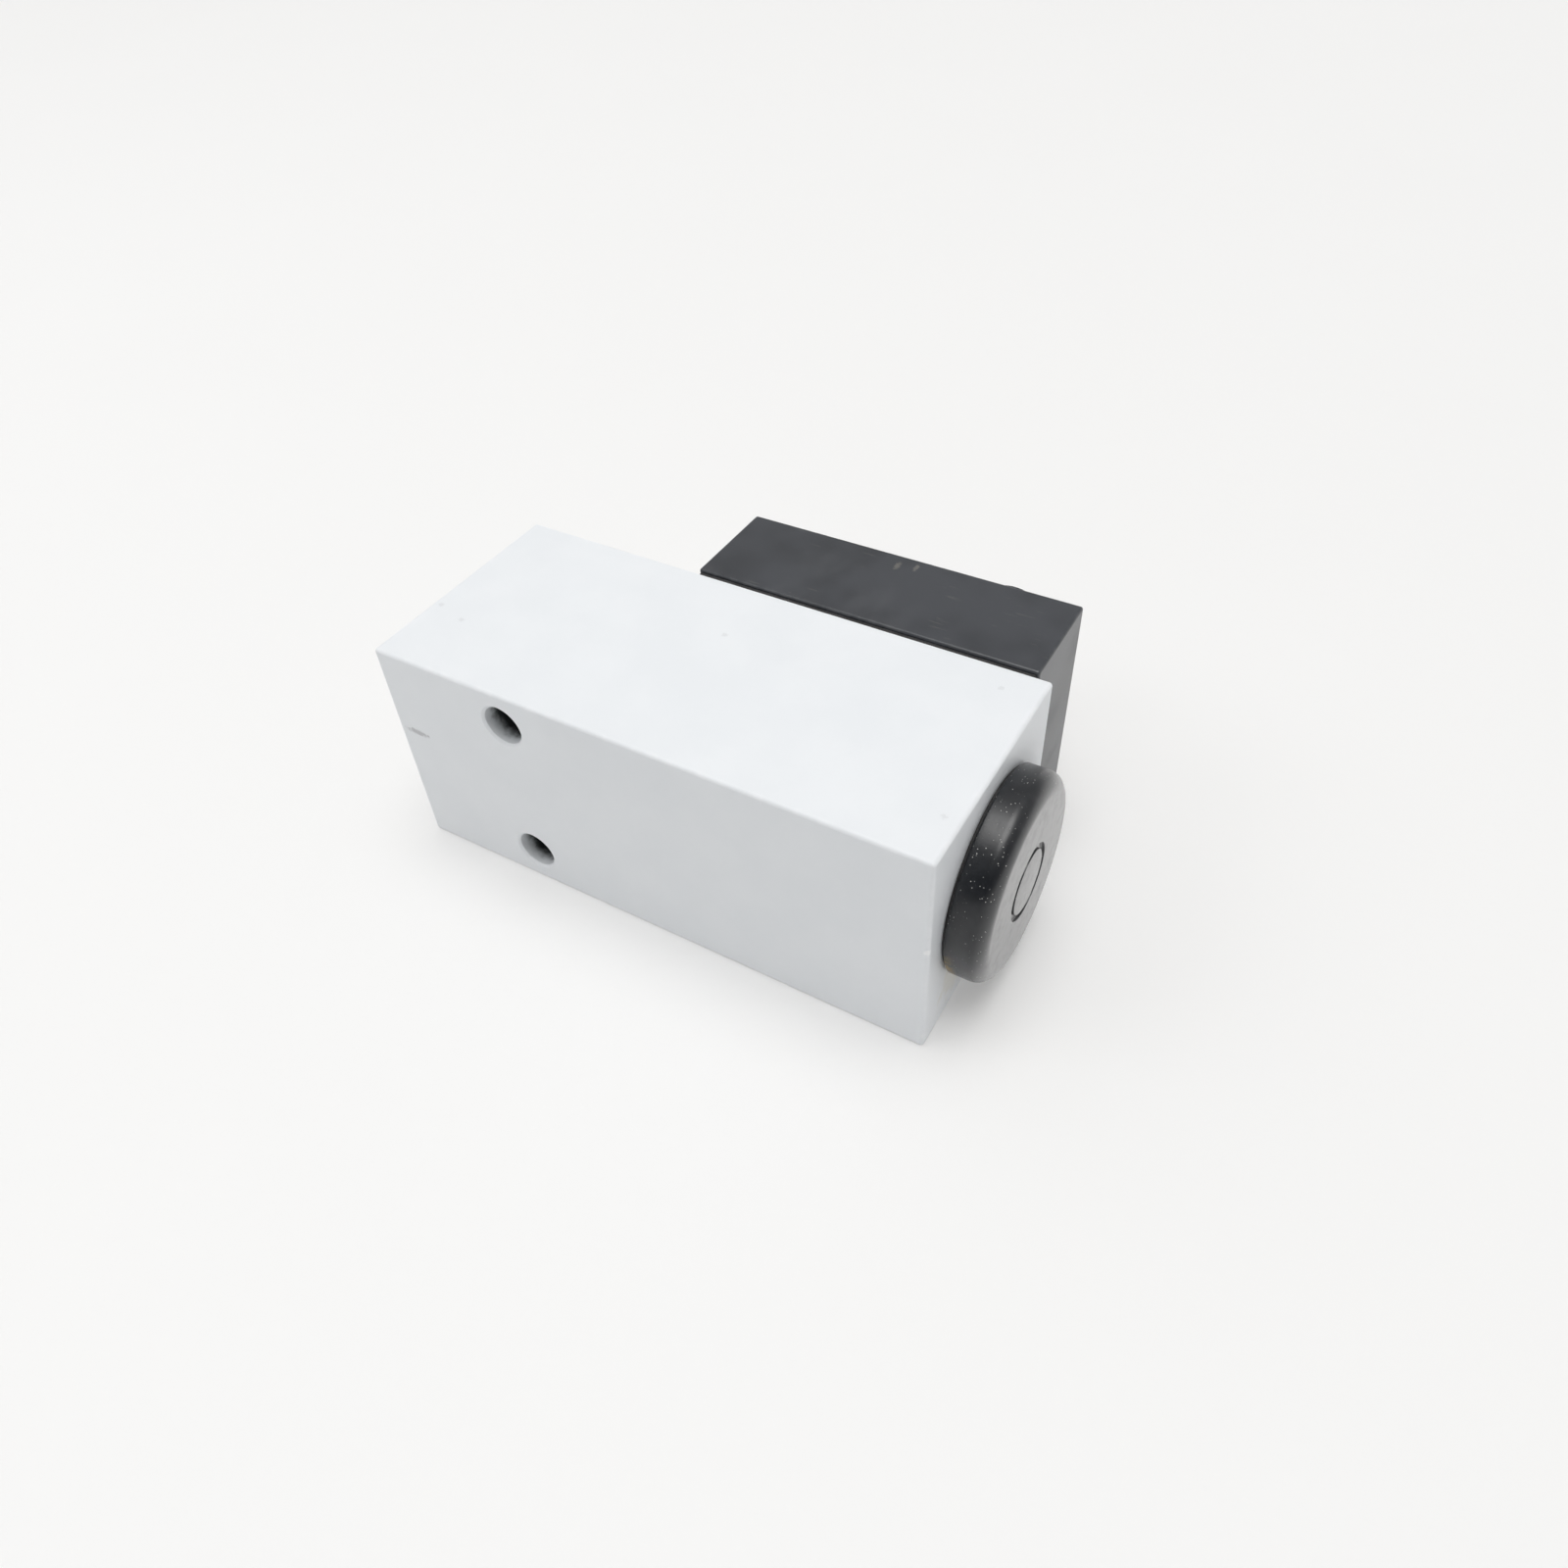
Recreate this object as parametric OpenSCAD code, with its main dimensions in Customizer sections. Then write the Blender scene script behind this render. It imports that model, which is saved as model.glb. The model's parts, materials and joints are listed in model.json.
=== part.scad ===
// Square monoblock pressure valve with a side-mounted electrical switch.
//
// Pressure enters the threaded port and pushes a small piston along the
// block's long axis.  The piston moves a spring plate against the range
// spring, the plate tips a lever, and the lever presses a microswitch in the
// housing on the back.  A screw under the end cap sets the spring load.
//
// Frame: the origin is the centre of the two mounting holes on the front
// (mounting) face.  +X runs along the block to the cap, +Y into the block
// and on to the switch housing, +Z up.  Millimetres.
// Distances named "from the port end" are turned into X by px().

/* [Block] */
// Length of the block, from the port end to the cap end
body_l = 76; // [74:1:110]
// Width of the block, from the mounting face to the back face
body_w = 32; // [28:0.5:48]
// Height of the block
body_h = 32; // [30:0.5:48]
// Rounding of the block's edges
edge_r = 0.5; // [0.3:0.1:1.5]

/* [Mounting holes] */
// Distance of the two mounting holes from the port end
bolt_row = 19.2; // [18.2:0.1:21]
// Distance between the two mounting holes
bolt_gap = 22; // [20.5:0.5:23]
// Diameter of the mounting holes, clearance for M5
bolt_d = 5.5; // [4.3:0.1:6]
// Chamfer at the mouths of drilled holes
mouth_chamfer = 0.3; // [0.1:0.05:0.6]

/* [Pressure port] */
// Thread diameter of the port, G 1/4
port_d = 13.16; // [9.7:0.01:16]
// Depth of the port's thread
port_depth = 12; // [8:0.5:14]
// Diameter of the machined ring that the fitting's seal sits on
port_face_d = 20; // [17:0.5:26]
// Depth of that machined ring
port_face_depth = 0.4; // [0.2:0.1:1]
// Diameter of the passage behind the port
passage_d = 4; // [3:0.1:4.6]
// Length of the passage behind the port
passage_l = 3; // [2.5:0.1:4]
// Length of the damping nozzle in the passage
nozzle_l = 2.4; // [1.5:0.1:2.4]
// Diameter of the nozzle's orifice
orifice_d = 0.8; // [0.4:0.1:1.2]

/* [Piston and guide] */
// Diameter of the piston
piston_d = 5; // [4:0.1:5.2]
// Outer diameter of the guide sleeve
sleeve_d = 11; // [10.5:0.1:12]
// Length of the guide sleeve
sleeve_l = 16; // [14:0.5:20]
// Section diameter of the piston's O-ring
piston_ring_d = 1.5; // [1.2:0.1:1.6]
// Thickness of the backup ring behind the O-ring
backup_t = 1; // [0.8:0.1:1.4]
// Section diameter of the O-ring round the sleeve
sleeve_ring_d = 0.88; // [0.7:0.02:0.9]
// Travel of the piston from rest to its stop
piston_stroke = 0.8; // [0.4:0.1:1]

/* [Range spring] */
// Diameter of the spring chamber
chamber_d = 20; // [19:0.5:21]
// Thickness of the spring plate and of the upper seat
plate_t = 2; // [1.6:0.1:2.4]
// Mean diameter of the spring
spring_d = 12; // [11:0.1:12.4]
// Diameter of the spring's wire
wire_d = 2.2; // [1.6:0.1:2.4]
// Number of turns, the two closed ends counted
spring_turns = 7; // [6:0.5:8]
// Height of the hubs that centre the spring
hub_l = 3; // [2:0.5:4]

/* [Adjuster] */
// Distance of the adjusting screw's outer face from the cap end
adjuster_inset = 6.6; // [5.5:0.1:8]
// Length of the adjusting screw
adjuster_l = 9; // [8:0.5:11]
// Width across flats of the hex socket
key_af = 5; // [4:0.5:6]
// Depth of the hex socket
key_depth = 4; // [3:0.5:4.5]
// Diameter of the thrust ball
ball_d = 5; // [4:0.5:5]
// Thickness of the retaining ring
clip_t = 1; // [0.8:0.1:1.2]
// Radial depth of the retaining ring's groove
clip_groove = 0.6; // [0.4:0.1:0.8]

/* [End cap] */
// Diameter of the cap
cap_d = 26; // [24:0.5:29]
// How far the cap stands out of the block
cap_h = 5; // [4.5:0.1:8]
// Rounding of the cap's edge
cap_round = 3.7; // [2:0.1:4.2]
// Thickness of the rubber ring under the cap
cap_ring_t = 0.35; // [0.2:0.05:0.6]
// Length of the spigot that plugs into the bore
spigot_l = 3; // [2:0.5:3.5]
// Wall thickness of the spigot
spigot_wall = 1.5; // [1.2:0.1:2]

/* [Switch housing] */
// Distance of the housing from the port end
box_start = 26.7; // [26:0.1:27.5]
// Distance from the housing's other end to the cap end
box_inset = 2; // [1:0.5:3]
// Depth of the housing, without its gasket
box_d = 14.7; // [14.5:0.1:20]
// Wall thickness of the housing
box_wall = 1.6; // [1.2:0.1:1.8]
// Rounding of the housing's edges
box_r = 0.4; // [0.3:0.1:1]
// Thickness of the gasket
gasket_t = 0.7; // [0.5:0.1:1.2]
// How far the gasket's rim lies inside the housing's outline
gasket_inset = 0.35; // [0.2:0.05:0.6]
// Diameter of the housing screws, M3
box_screw_d = 3; // [2.5:0.1:3]
// Distance of the housing screws from the housing's edges
box_screw_inset = 4.3; // [4.2:0.1:4.8]
// How deep the housing screws reach into the block
box_screw_grip = 5; // [4:0.5:6]

/* [Lever and bracket] */
// Thickness of the bracket's sheet
bracket_t = 1; // [0.8:0.1:1.1]
// Width of the lever
lever_w = 4; // [3:0.1:4.4]
// Diameter of the lever's pin
pin_d = 1.6; // [1.2:0.1:2]
// Height of the lever's pin above the block's back face
pin_height = 3.2; // [3.1:0.1:3.4]
// Distance along X from the plate's contact point to the lever's pin
pin_reach = 3.9; // [3.6:0.1:4.2]
// Distance along X from the lever's pin to the microswitch plunger
lever_reach = 5.1; // [4.9:0.1:5.6]

/* [Microswitch] */
// Length of the microswitch
micro_l = 12.8; // [12:0.1:14]
// Height of the microswitch, from the plunger side to the terminal side
micro_h = 6.5; // [6:0.1:7]
// Thickness of the microswitch
micro_w = 5.8; // [5:0.1:6.4]
// Diameter of the plunger
plunger_d = 1.5; // [1.2:0.1:1.8]
// How far the plunger stands out at rest
plunger_out = 0.8; // [0.7:0.1:1]
// Distance of the plunger from the end of the case
plunger_inset = 3.3; // [2.8:0.1:3.6]
// Distance between the microswitch screws
micro_screw_gap = 6.5; // [6:0.1:7]
// Diameter of the microswitch screws, M2
micro_screw_d = 2; // [1.6:0.1:2.2]
// Length of the terminals
terminal_l = 2; // [1.5:0.1:2.2]

/* [Connector] */
// Distance from the microswitch's end to the connector's axis
conn_gap = 8.4; // [8.3:0.1:9.4]
// Thread diameter of the connector, M12 x 1
conn_d = 12; // [11:0.5:13]
// How far the connector stands out behind the housing
conn_out = 14.3; // [12:0.1:20]
// Diameter of the connector's mouth
conn_mouth_d = 9.2; // [8.6:0.1:9.6]
// Depth of the connector's mouth
conn_mouth_depth = 8; // [6:0.5:9]
// Width across flats of the connector's collar
conn_collar_af = 15; // [14:0.5:17]
// Width across flats of the nut inside the housing
conn_nut_af = 14; // [13.5:0.5:14]
// Thickness of the connector's nut
conn_nut_t = 2.2; // [1.8:0.1:2.4]
// Diameter of a contact pin
contact_d = 1; // [0.8:0.1:1]
// Side of the square that the contact pins stand on
contact_gap = 4; // [3.6:0.1:4]

/* [Clearances] */
// Radial clearance of pieces that slide or turn in each other
running = 0.05; // [0.02:0.01:0.08]
// Radial gap left between pieces that are pressed or screwed together
seated = 0.02; // [0.01:0.01:0.04]
// Gap across a contact that only closes when a part moves
contact_clear = 0.1; // [0.05:0.05:0.15]

/* [Hidden] */
$fn = 72;
cut = 1;                                  // how far a cutting tool overshoots a face

// Stations along the block, from the port end
passage_x = port_depth;
sleeve_x = passage_x + passage_l;
chamber_x = sleeve_x + sleeve_l;
plate_gap = 0.2;                          // the plate clears the chamber's floor
plate_x = chamber_x + plate_gap;
plate_top_x = plate_x + plate_t;
adjuster_x = body_l - adjuster_inset - adjuster_l;
ball_sink = 1.3;                          // how deep the ball sits in the seat
screw_gap = 2.2;                          // from the seat's face to the screw
seat_x = adjuster_x - screw_gap - plate_t;
screw_back_off = 1.8;                     // room for the screw to back out
clip_x = body_l - adjuster_inset + screw_back_off;
spring_clear = 0.05;                      // gap at each end of the spring
spring_l = seat_x - plate_top_x - 2 * spring_clear;

// Rows across the block
axis_y = body_w / 2;
back_y = body_w;
box_y = back_y + gasket_t;
box_back_y = box_y + box_d;
box_inner_y = box_back_y - box_wall;
box_l = body_l - box_start - box_inset;
box_end = box_start + box_l;

// Piston group
piston_r = piston_d / 2;
sleeve_bore_r = piston_r + running;
gland_r = piston_r + piston_ring_d + 0.05;
gland_l = piston_ring_d + backup_t + 0.5;
piston_tip_gap = 0.6;
piston_socket = 1;                        // how far the piston enters the plate
plate_clear = 0.7;                        // the plate's radial room in the chamber
seat_clear = 1.2;                         // the upper seat's
plate_r = chamber_d / 2 - plate_clear;
seat_r = chamber_d / 2 - seat_clear;
hub_r = spring_d / 2 - wire_d / 2 - 0.2;
hub_taper = 0.6;

// Lever and microswitch
lever_nose_r = 0.6;
lever_bar = 1.2;                          // thickness of the lever's bars
nose_proud = 0.4;                         // how far the plate's nose stands out
tip_proud = 0.3;                          // and the plunger's
lever_hub_r = 1.8;
contact_x = plate_top_x + contact_clear;  // where the lever's nose stands
contact_y = axis_y + plate_r - lever_nose_r - 0.1;
pin_x = contact_x + pin_reach;
pin_y = back_y + pin_height;
hub_len = micro_w - 0.6;
plunger_x = pin_x + lever_reach;
plunger_tip_y = pin_y + lever_bar / 2 + tip_proud + contact_clear;
micro_x = plunger_x - plunger_inset;
micro_y = plunger_tip_y + plunger_out;
micro_base_t = 1.2;
micro_nut_t = 1.6;
micro_hole_y = micro_y + micro_h - micro_base_t - 1.45;
micro_hole_x = micro_x + (micro_l - micro_screw_gap) / 2;
terminal_gap = 5.08;
terminal_t = 0.5;
terminal_w = 1.2;
window_x = contact_x + 0.1;               // window for the lever in the back wall
window_l = 6.6;
window_w = 6.4;
ear_r = 2;                                // half length of the bracket's ears

// Gasket and bracket
gasket_rim = box_wall + 0.8;              // width of the gasket's rim, from the outline
wall_z = -micro_w / 2 - bracket_t;
bracket_x0 = box_start + gasket_rim + 0.3;
bracket_x1 = micro_x + micro_l + 5.2;
bracket_w = 11;
bracket_screw_d = 2;
bracket_head_d = 3.6;
bracket_screw_x = [bracket_x0 + 2, bracket_x1 - 2.4];
bracket_screw_grip = 4.4;
hole_spare = 0.4;                         // a tapped hole is this much deeper

// Connector
conn_x = micro_x + micro_l + conn_gap;
conn_r = conn_d / 2;
conn_seal_t = 0.8;
conn_collar_t = 3;
conn_inner_l = 5.6;                       // length of the shell inside the housing
conn_tip_y = box_back_y + conn_out;
conn_tail_y = box_back_y - conn_inner_l;
contact_tail = 2.6;                       // pins reach this far behind the insert

function px(x) = x - bolt_row;
function hex_r(af) = af / 2 / cos(30);

// Places a shape whose own axis is +Z on the valve's axis, at station x
module on_axis(x) {
    translate([px(x), axis_y, 0]) rotate([0, 90, 0]) children();
}

// Places a shape whose own axis is +Z so that it points along +Y
module toward_back(x, y, z) {
    translate([px(x), y, z]) rotate([-90, 0, 0]) children();
}

module ring(outer_r, inner_r, h) {
    difference() {
        cylinder(r = outer_r, h = h);
        translate([0, 0, -cut]) cylinder(r = inner_r, h = h + 2 * cut);
    }
}

module torus(mid_r, section_r) {
    rotate_extrude() translate([mid_r, 0]) circle(section_r, $fn = 32);
}

module rounded_rect(w, h, r) {
    translate([r, 0]) square([w - 2 * r, h]);
    translate([0, r]) square([w, h - 2 * r]);
    for (x = [r, w - r], y = [r, h - r])
        translate([x, y]) circle(r, $fn = 32);
}

// Box with every edge rounded, its low corner at the origin
module rounded_block(l, w, h, r) {
    intersection() {
        linear_extrude(h) rounded_rect(l, w, r);
        translate([0, w, 0]) rotate([90, 0, 0])
            linear_extrude(w) rounded_rect(l, h, r);
        rotate([90, 0, 90]) linear_extrude(l) rounded_rect(w, h, r);
    }
}

// Screw pointing along -Z from its head's underside at z = 0
module screw(d, shank, head_d, head_h, slot = 0.9) {
    difference() {
        union() {
            translate([0, 0, -shank]) cylinder(d = d, h = shank);
            cylinder(d = head_d, h = head_h);
        }
        for (a = [0, 90]) rotate([0, 0, a])
            translate([-head_d * 0.3, -slot / 2, head_h * 0.45])
                cube([head_d * 0.6, slot, head_h]);
    }
}

// Tube swept along a list of points, one ring of sides at each point.  The
// rings are turned by a reference direction that the path never runs along.
function unit(v) = v / norm(v);
function tangent(path, i) =
    unit(path[min(i + 1, len(path) - 1)] - path[max(i - 1, 0)]);
function sweep_points(path, r, sides, ref) = [
    for (i = [0 : len(path) - 1])
        let (t = tangent(path, i), u = unit(cross(t, ref)), v = cross(t, u))
        for (k = [0 : sides - 1])
            path[i] + r * (cos(360 * k / sides) * u + sin(360 * k / sides) * v)
];
function sweep_faces(rings, sides) = concat(
    [[for (k = [0 : sides - 1]) k]],
    [[for (k = [sides - 1 : -1 : 0]) (rings - 1) * sides + k]],
    [for (i = [0 : rings - 2], k = [0 : sides - 1])
        let (a = i * sides + k, b = i * sides + (k + 1) % sides)
        [a, a + sides, b + sides, b]]
);
module sweep(path, r, sides, ref) {
    polyhedron(sweep_points(path, r, sides, ref), sweep_faces(len(path), sides));
}

// ---- block and pressure side -------------------------------------------

port_chamfer = 0.7;                       // lead-in at the port's mouth

module block_bores() {
    for (s = [-1, 1]) {
        toward_back(bolt_row, -cut, s * bolt_gap / 2)
            cylinder(d = bolt_d, h = body_w + 2 * cut);
        toward_back(bolt_row, -cut, s * bolt_gap / 2)
            cylinder(d1 = bolt_d + 2 * (mouth_chamfer + cut), d2 = bolt_d,
                     h = mouth_chamfer + cut);
        toward_back(bolt_row, body_w - mouth_chamfer, s * bolt_gap / 2)
            cylinder(d1 = bolt_d, d2 = bolt_d + 2 * (mouth_chamfer + cut),
                     h = mouth_chamfer + cut);
    }
    on_axis(-cut) cylinder(d = port_d, h = port_depth + cut);
    on_axis(-cut) cylinder(d = port_face_d, h = port_face_depth + cut);
    on_axis(port_face_depth)
        cylinder(d1 = port_d + 2 * port_chamfer, d2 = port_d, h = port_chamfer);
    on_axis(passage_x - cut) cylinder(d = passage_d, h = passage_l + 2 * cut);
    on_axis(sleeve_x) cylinder(d = sleeve_d, h = sleeve_l + cut);
    on_axis(chamber_x) cylinder(d = chamber_d, h = body_l - chamber_x + cut);
    on_axis(clip_x)
        cylinder(r = chamber_d / 2 + clip_groove, h = clip_t + 2 * seated);
}

module monoblock_body() color([0.87, 0.89, 0.91]) {
    difference() {
        translate([px(0), 0, -body_h / 2])
            rounded_block(body_l, body_w, body_h, edge_r);
        block_bores();
        translate([px(window_x), axis_y, -window_w / 2])
            cube([window_l, body_w, window_w]);
        for (x = bracket_screw_x)
            toward_back(x, back_y - bracket_screw_grip, 0)
                cylinder(d = bracket_screw_d + 2 * seated, h = body_w);
        box_screw_places(back_y - box_screw_grip)
            cylinder(d = box_screw_d + 2 * seated, h = body_w);
    }
}

module damping_nozzle() color("goldenrod") {
    on_axis(passage_x + (passage_l - nozzle_l) / 2)
        difference() {
            cylinder(r = passage_d / 2 - seated, h = nozzle_l);
            translate([0, 0, -cut]) cylinder(d = orifice_d, h = nozzle_l + 2 * cut);
            translate([-passage_d, -0.3, -cut])
                cube([2 * passage_d, 0.6, cut + 0.5]);
        }
}

sleeve_ring_x = sleeve_x + gland_l + 4;
sleeve_groove_r = sleeve_d / 2 - sleeve_ring_d - 2 * seated;

module guide_sleeve() color("silver") {
    difference() {
        on_axis(sleeve_x + seated)
            cylinder(r = sleeve_d / 2 - seated, h = sleeve_l - seated);
        on_axis(sleeve_x - cut) cylinder(r = sleeve_bore_r, h = sleeve_l + 2 * cut);
        on_axis(sleeve_x - cut) cylinder(r = gland_r, h = gland_l + cut);
        on_axis(sleeve_ring_x)
            ring(sleeve_d, sleeve_groove_r, sleeve_ring_d * 1.3);
    }
}

module sleeve_o_ring() color([0.1, 0.1, 0.1]) {
    on_axis(sleeve_ring_x + sleeve_ring_d * 0.65)
        torus(sleeve_groove_r + seated + sleeve_ring_d / 2, sleeve_ring_d / 2);
}

module piston() color("gainsboro") {
    on_axis(sleeve_x + piston_tip_gap)
        cylinder(r = piston_r, h = plate_x + piston_socket - sleeve_x - piston_tip_gap);
}

module piston_o_ring() color([0.1, 0.1, 0.1]) {
    on_axis(sleeve_x + piston_ring_d / 2 + 0.2)
        torus(sleeve_bore_r + piston_ring_d / 2, piston_ring_d / 2 - 0.01);
}

module backup_ring() color("white") {
    on_axis(sleeve_x + gland_l - backup_t - seated)
        ring(gland_r - seated, sleeve_bore_r, backup_t);
}

// ---- spring and adjuster -------------------------------------------------

module spring_plate() color("slategray") {
    difference() {
        union() {
            on_axis(plate_x) cylinder(r = plate_r, h = plate_t);
            on_axis(plate_top_x) cylinder(r = hub_r, h = hub_l - hub_taper);
            on_axis(plate_top_x + hub_l - hub_taper)
                cylinder(r1 = hub_r, r2 = hub_r - hub_taper, h = hub_taper);
        }
        on_axis(plate_x - cut)
            cylinder(r = piston_r + seated, h = piston_socket + seated + cut);
    }
}

// Height of the wire's centre after a number of turns: each end turn is
// closed, the turns between them share the rest of the height
end_pitch = wire_d + 0.1;
open_pitch = (spring_l - wire_d - 2 * end_pitch) / (spring_turns - 2);
function spring_rise(turn) =
    wire_d / 2 + end_pitch * min(turn, 1)
    + open_pitch * max(0, min(turn - 1, spring_turns - 2))
    + end_pitch * max(0, turn - (spring_turns - 1));
spring_steps = 24;
spring_path = [
    for (i = [0 : spring_turns * spring_steps])
        let (turn = i / spring_steps, a = 360 * turn)
        [spring_d / 2 * cos(a), spring_d / 2 * sin(a), spring_rise(turn)]
];

module range_spring() color("dimgray") {
    on_axis(plate_top_x + spring_clear) sweep(spring_path, wire_d / 2, 10, [0, 0, 1]);
}

module upper_spring_seat() color("slategray") {
    difference() {
        union() {
            on_axis(seat_x) cylinder(r = seat_r, h = plate_t);
            on_axis(seat_x - hub_l + hub_taper)
                cylinder(r = hub_r, h = hub_l - hub_taper);
            on_axis(seat_x - hub_l)
                cylinder(r1 = hub_r - hub_taper, r2 = hub_r, h = hub_taper);
        }
        on_axis(ball_x) sphere(d = ball_d + 2 * seated);
    }
}

ball_x = seat_x + plate_t + ball_d / 2 - ball_sink;

module thrust_ball() color("silver") {
    on_axis(ball_x) sphere(d = ball_d);
}

key_chamfer = 0.5;                        // lead-in at the hex socket's mouth

module adjusting_screw() color("lightsteelblue") {
    difference() {
        on_axis(adjuster_x) cylinder(r = chamber_d / 2 - running, h = adjuster_l);
        on_axis(ball_x) sphere(d = ball_d + 2 * running);
        on_axis(adjuster_x + adjuster_l - key_depth)
            cylinder(r = hex_r(key_af), h = key_depth + cut, $fn = 6);
        on_axis(adjuster_x + adjuster_l - key_chamfer)
            cylinder(d1 = key_af, d2 = key_af + 4 * (key_chamfer + cut),
                     h = key_chamfer + cut);
    }
}

clip_gap_deg = 24;                        // half the ring's opening
clip_in_r = chamber_d / 2 - 1.6;

module retaining_ring() color("dimgray") {
    on_axis(clip_x + seated) difference() {
        ring(chamber_d / 2 + clip_groove - seated, clip_in_r, clip_t);
        translate([0, 0, -cut]) linear_extrude(clip_t + 2 * cut)
            polygon([[0, 0],
                     2 * chamber_d * [cos(clip_gap_deg), sin(clip_gap_deg)],
                     2 * chamber_d * [cos(clip_gap_deg), -sin(clip_gap_deg)]]);
    }
}

cap_base_x = body_l + cap_ring_t;
cap_head_h = cap_h - cap_ring_t;
cap_roof = 2;                             // thickness of the cap's flat end
spigot_r = chamber_d / 2 - running;
cap_mark_r = 4.9;                         // plain ring moulded in the flat end
cap_mark_w = 0.6;
cap_mark_depth = 0.25;

// Half section of the cap's head: a flat face and a round edge
module cap_profile() {
    r = cap_d / 2;
    square([r, cap_head_h - cap_round]);
    square([r - cap_round, cap_head_h]);
    translate([r - cap_round, cap_head_h - cap_round]) intersection() {
        circle(cap_round);
        square(cap_round);
    }
}

module adjuster_cap() color([0.13, 0.13, 0.14]) {
    difference() {
        union() {
            on_axis(cap_base_x) rotate_extrude() cap_profile();
            on_axis(body_l - spigot_l)
                cylinder(r = spigot_r, h = spigot_l + cap_ring_t);
        }
        on_axis(body_l - spigot_l - cut)
            cylinder(r = spigot_r - spigot_wall,
                     h = spigot_l + cap_h - cap_roof + cut);
        on_axis(body_l + cap_h - cap_mark_depth)
            ring(cap_mark_r, cap_mark_r - cap_mark_w, cut);
    }
}

module cap_seal() color([0.05, 0.05, 0.05]) {
    on_axis(body_l) ring(cap_d / 2 - 0.4, spigot_r + seated, cap_ring_t);
}

// ---- lever and microswitch -----------------------------------------------

module switch_bracket() color("lightgray") {
    difference() {
        union() {
            translate([px(bracket_x0), back_y, -bracket_w / 2])
                cube([bracket_x1 - bracket_x0, bracket_t, bracket_w]);
            translate([px(pin_x - ear_r), back_y, wall_z])
                cube([micro_x + micro_l - pin_x + ear_r,
                      micro_hole_y + 0.8 * micro_screw_d - back_y, bracket_t]);
            translate([px(pin_x - ear_r), back_y, micro_w / 2])
                cube([2 * ear_r, pin_height + ear_r, bracket_t]);
        }
        translate([px(window_x), back_y - cut, -window_w / 2 + bracket_t])
            cube([window_l, bracket_t + cut, window_w - 2 * bracket_t]);
        translate([px(pin_x), pin_y, -bracket_w])
            cylinder(d = pin_d + 2 * seated, h = 2 * bracket_w);
        micro_screw_places(-bracket_w)
            cylinder(d = micro_screw_d + 2 * seated, h = bracket_w);
        for (x = bracket_screw_x)
            toward_back(x, back_y - cut, 0)
                cylinder(d = bracket_screw_d + 2 * seated, h = 3 * cut);
    }
}

module bracket_screws() color("silver") {
    for (x = bracket_screw_x)
        toward_back(x, back_y + bracket_t, 0)
            screw(bracket_screw_d, bracket_t + bracket_screw_grip - hole_spare,
                  head_d = bracket_head_d, head_h = 1.4, slot = 0.5);
}

module switch_lever() color("khaki") {
    difference() {
        union() {
            translate([px(contact_x), 0, -lever_w / 2]) linear_extrude(lever_w) {
                translate([lever_nose_r, contact_y]) circle(lever_nose_r, $fn = 32);
                translate([nose_proud, contact_y - lever_nose_r])
                    square([lever_bar, pin_y + lever_bar / 2 - contact_y + lever_nose_r]);
                translate([nose_proud, pin_y - lever_bar / 2])
                    square([pin_reach + lever_reach - nose_proud + 1, lever_bar]);
                translate([pin_reach + lever_reach,
                           plunger_tip_y - contact_clear - lever_nose_r])
                    circle(lever_nose_r, $fn = 32);
            }
            translate([px(pin_x), pin_y, -hub_len / 2])
                cylinder(r = lever_hub_r, h = hub_len);
        }
        translate([px(pin_x), pin_y, -hub_len])
            cylinder(r = pin_d / 2 + running, h = 2 * hub_len);
    }
}

module lever_pin() color("silver") {
    half = micro_w / 2 + bracket_t + 0.4;
    translate([px(pin_x), pin_y, -half]) cylinder(d = pin_d, h = 2 * half);
}

module micro_screw_places(z) {
    for (x = [micro_hole_x, micro_hole_x + micro_screw_gap])
        translate([px(x), micro_hole_y, z]) children();
}

plunger_grip = 2;                         // how far the plunger sits in the case

module microswitch_case() color([0.15, 0.15, 0.16]) {
    difference() {
        translate([px(micro_x), micro_y, -micro_w / 2])
            cube([micro_l, micro_h - micro_base_t, micro_w]);
        micro_screw_places(-micro_w)
            cylinder(d = micro_screw_d + 2 * seated, h = 2 * micro_w);
        toward_back(plunger_x, micro_y - cut, 0)
            cylinder(r = plunger_d / 2 + running,
                     h = plunger_grip + piston_stroke + cut);
    }
}

module microswitch_base() color([0.45, 0.12, 0.1]) {
    difference() {
        translate([px(micro_x), micro_y + micro_h - micro_base_t, -micro_w / 2])
            cube([micro_l, micro_base_t, micro_w]);
        terminal_places() terminal_blade(seated);
    }
}

module switch_plunger() color("firebrick") {
    toward_back(plunger_x, plunger_tip_y, 0)
        cylinder(d = plunger_d, h = plunger_out + plunger_grip);
}

module terminal_places() {
    for (i = [-1, 0, 1])
        translate([px(micro_x + micro_l / 2 + i * terminal_gap),
                   micro_y + micro_h - micro_base_t, 0])
            children();
}

module terminal_blade(gap) {
    translate([-terminal_t / 2 - gap, -gap, -terminal_w / 2 - gap])
        cube([terminal_t + 2 * gap, micro_base_t + terminal_l + gap,
              terminal_w + 2 * gap]);
}

module switch_terminals() color("gold") {
    terminal_places() terminal_blade(0);
}

module microswitch_screws() color("silver") {
    micro_screw_places(micro_w / 2)
        screw(micro_screw_d, micro_w + bracket_t + micro_nut_t + 0.2,
              head_d = 3.8, head_h = 1.3, slot = 0.5);
}

module microswitch_nuts() color("silver") {
    micro_screw_places(wall_z - micro_nut_t) difference() {
        cylinder(r = hex_r(2 * micro_screw_d), h = micro_nut_t, $fn = 6);
        translate([0, 0, -cut])
            cylinder(r = micro_screw_d / 2 + seated, h = micro_nut_t + 2 * cut);
    }
}

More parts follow.
